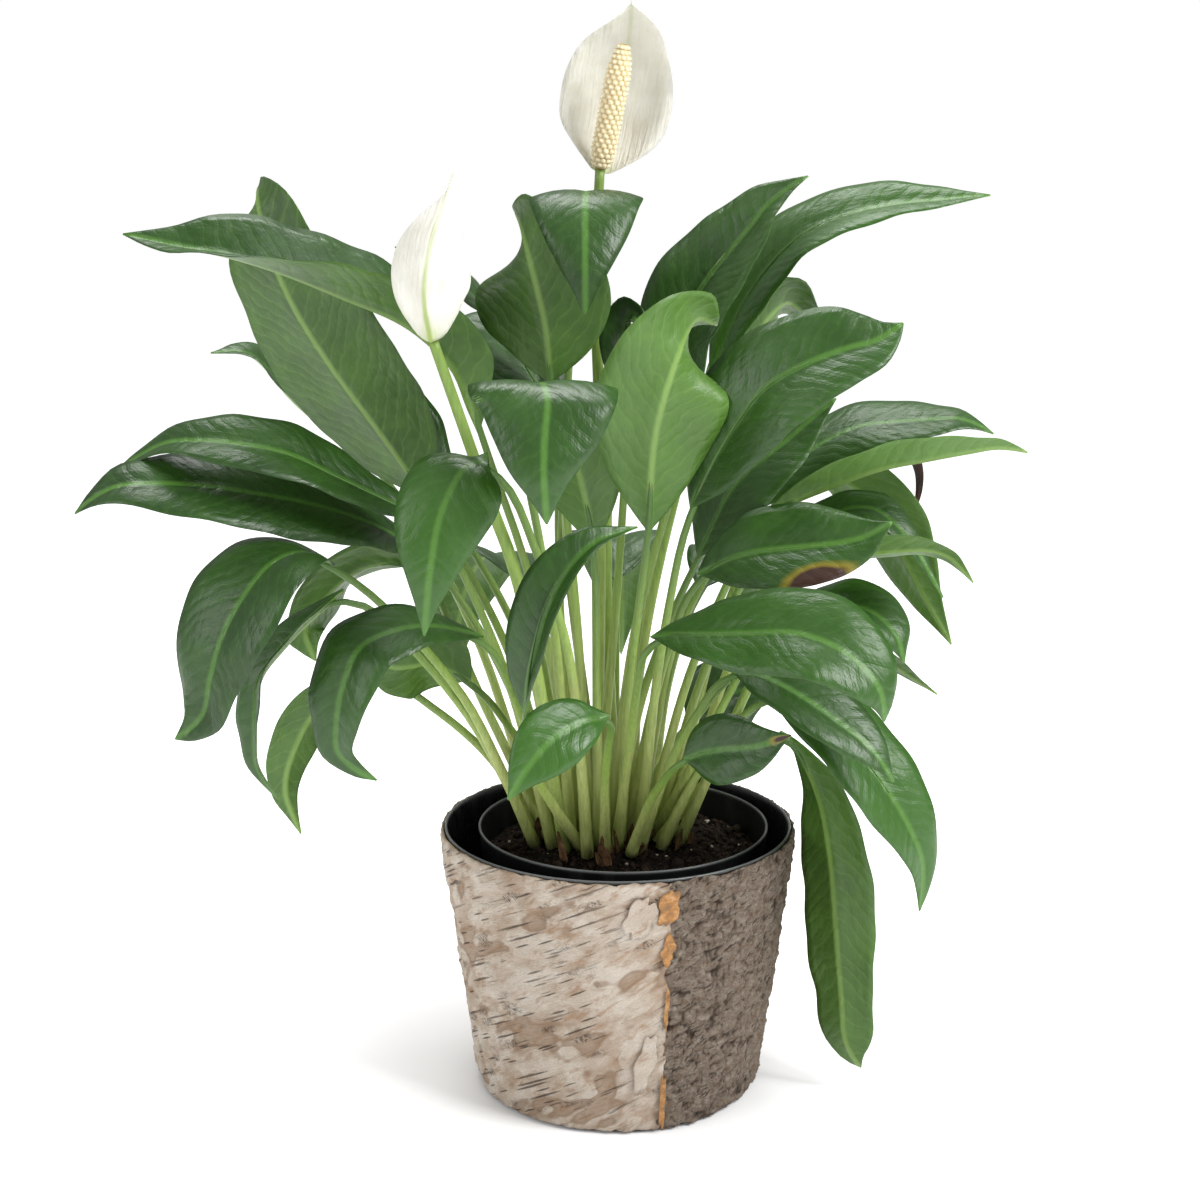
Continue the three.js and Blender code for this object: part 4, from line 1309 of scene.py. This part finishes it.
chance = random.Random(77)
for count in range(34):
    turn = chance.uniform(0, 2 * math.pi)
    out = math.sqrt(chance.uniform(0.05, 1.0)) * 0.95
    place = Vector(
        (
            crown_middle.x + out * crown_half.x * math.cos(turn),
            crown_middle.y + out * crown_half.y * math.sin(turn),
            crown_high.z - 0.001,
        )
    )
    tilt = Vector((math.cos(turn), math.sin(turn), 0)) * chance.uniform(0.001, 0.006) * out
    sheath(
        f"sheath_{count + 1}",
        place,
        chance.uniform(0.005, 0.015),
        0.0034,
        chance.uniform(1.2, 3.0),
        300 + count,
        tilt,
    )

# ---- camera, floor and light ----

camera_data = bpy.data.cameras.new("camera")
camera_data.lens = 57.75
camera_data.sensor_width = 36.0
camera = bpy.data.objects.new("camera", camera_data)
camera.location = (-0.008, -0.8346, 0.4068)
camera.rotation_euler = (math.radians(77.69), 0, 0)
bpy.context.scene.collection.objects.link(camera)
bpy.context.scene.camera = camera

bpy.ops.object.select_all(action="DESELECT")
bpy.ops.mesh.primitive_plane_add(size=24)
floor = bpy.context.object
floor.name = "floor"
floor_finish = Finish("floor_white", roughness=0.9, specular=0.1)
floor_finish.colour((0.90, 0.90, 0.905))
floor_finish.shader.inputs["Emission Color"].default_value = (1, 1, 1, 1)
# The floor's glow is weaker near the plant and stronger further from it: a painted shadow round the pot.
east, north, _ = floor_finish.parts(floor_finish.coords())
far = floor_finish.maths(
    "SQRT", floor_finish.maths("MULTIPLY_ADD", east, east, floor_finish.maths("MULTIPLY", north, north))
)
floor_glow_painted_shadow = floor_finish.ramp(
    floor_finish.maths("MULTIPLY", far, 0.5), (0.03, 0.05), (0.09, 0.36), (0.2, 0.64)
)
floor_finish.put(floor_glow_painted_shadow, floor_finish.shader.inputs["Emission Strength"])
floor.data.materials.append(floor_finish.material)


def softbox(name, place, aim, size, watts):
    light = bpy.data.lights.new(name, "AREA")
    light.shape = "RECTANGLE"
    light.size, light.size_y = size
    light.energy = watts
    lamp = bpy.data.objects.new(name, light)
    lamp.location = place
    lamp.rotation_euler = (Vector(aim) - Vector(place)).to_track_quat("-Z", "Y").to_euler()
    bpy.context.scene.collection.objects.link(lamp)


softbox("key_right", (1.15, -0.75, 1.35), (0, 0, 0.22), (0.7, 0.9), 34)
softbox("fill_left", (-1.3, -0.9, 0.9), (0, 0, 0.22), (0.8, 1.0), 9)
softbox("top_back", (-0.1, 0.55, 1.7), (0, 0, 0.25), (0.9, 0.6), 16)

world = bpy.data.worlds.new("studio")
world.use_nodes = True
sky = world.node_tree.nodes["Background"]
sky.inputs["Color"].default_value = (1, 1, 1, 1)
# The backdrop is seen white and lights the plant softly.
rays = world.node_tree.nodes.new("ShaderNodeLightPath")
backdrop = world.node_tree.nodes.new("ShaderNodeMapRange")
backdrop.inputs["To Min"].default_value = 0.42
backdrop.inputs["To Max"].default_value = 1.0
world.node_tree.links.new(rays.outputs["Is Camera Ray"], backdrop.inputs["Value"])
world.node_tree.links.new(backdrop.outputs["Result"], sky.inputs["Strength"])
bpy.context.scene.world = world
bpy.context.scene.view_settings.view_transform = "Standard"
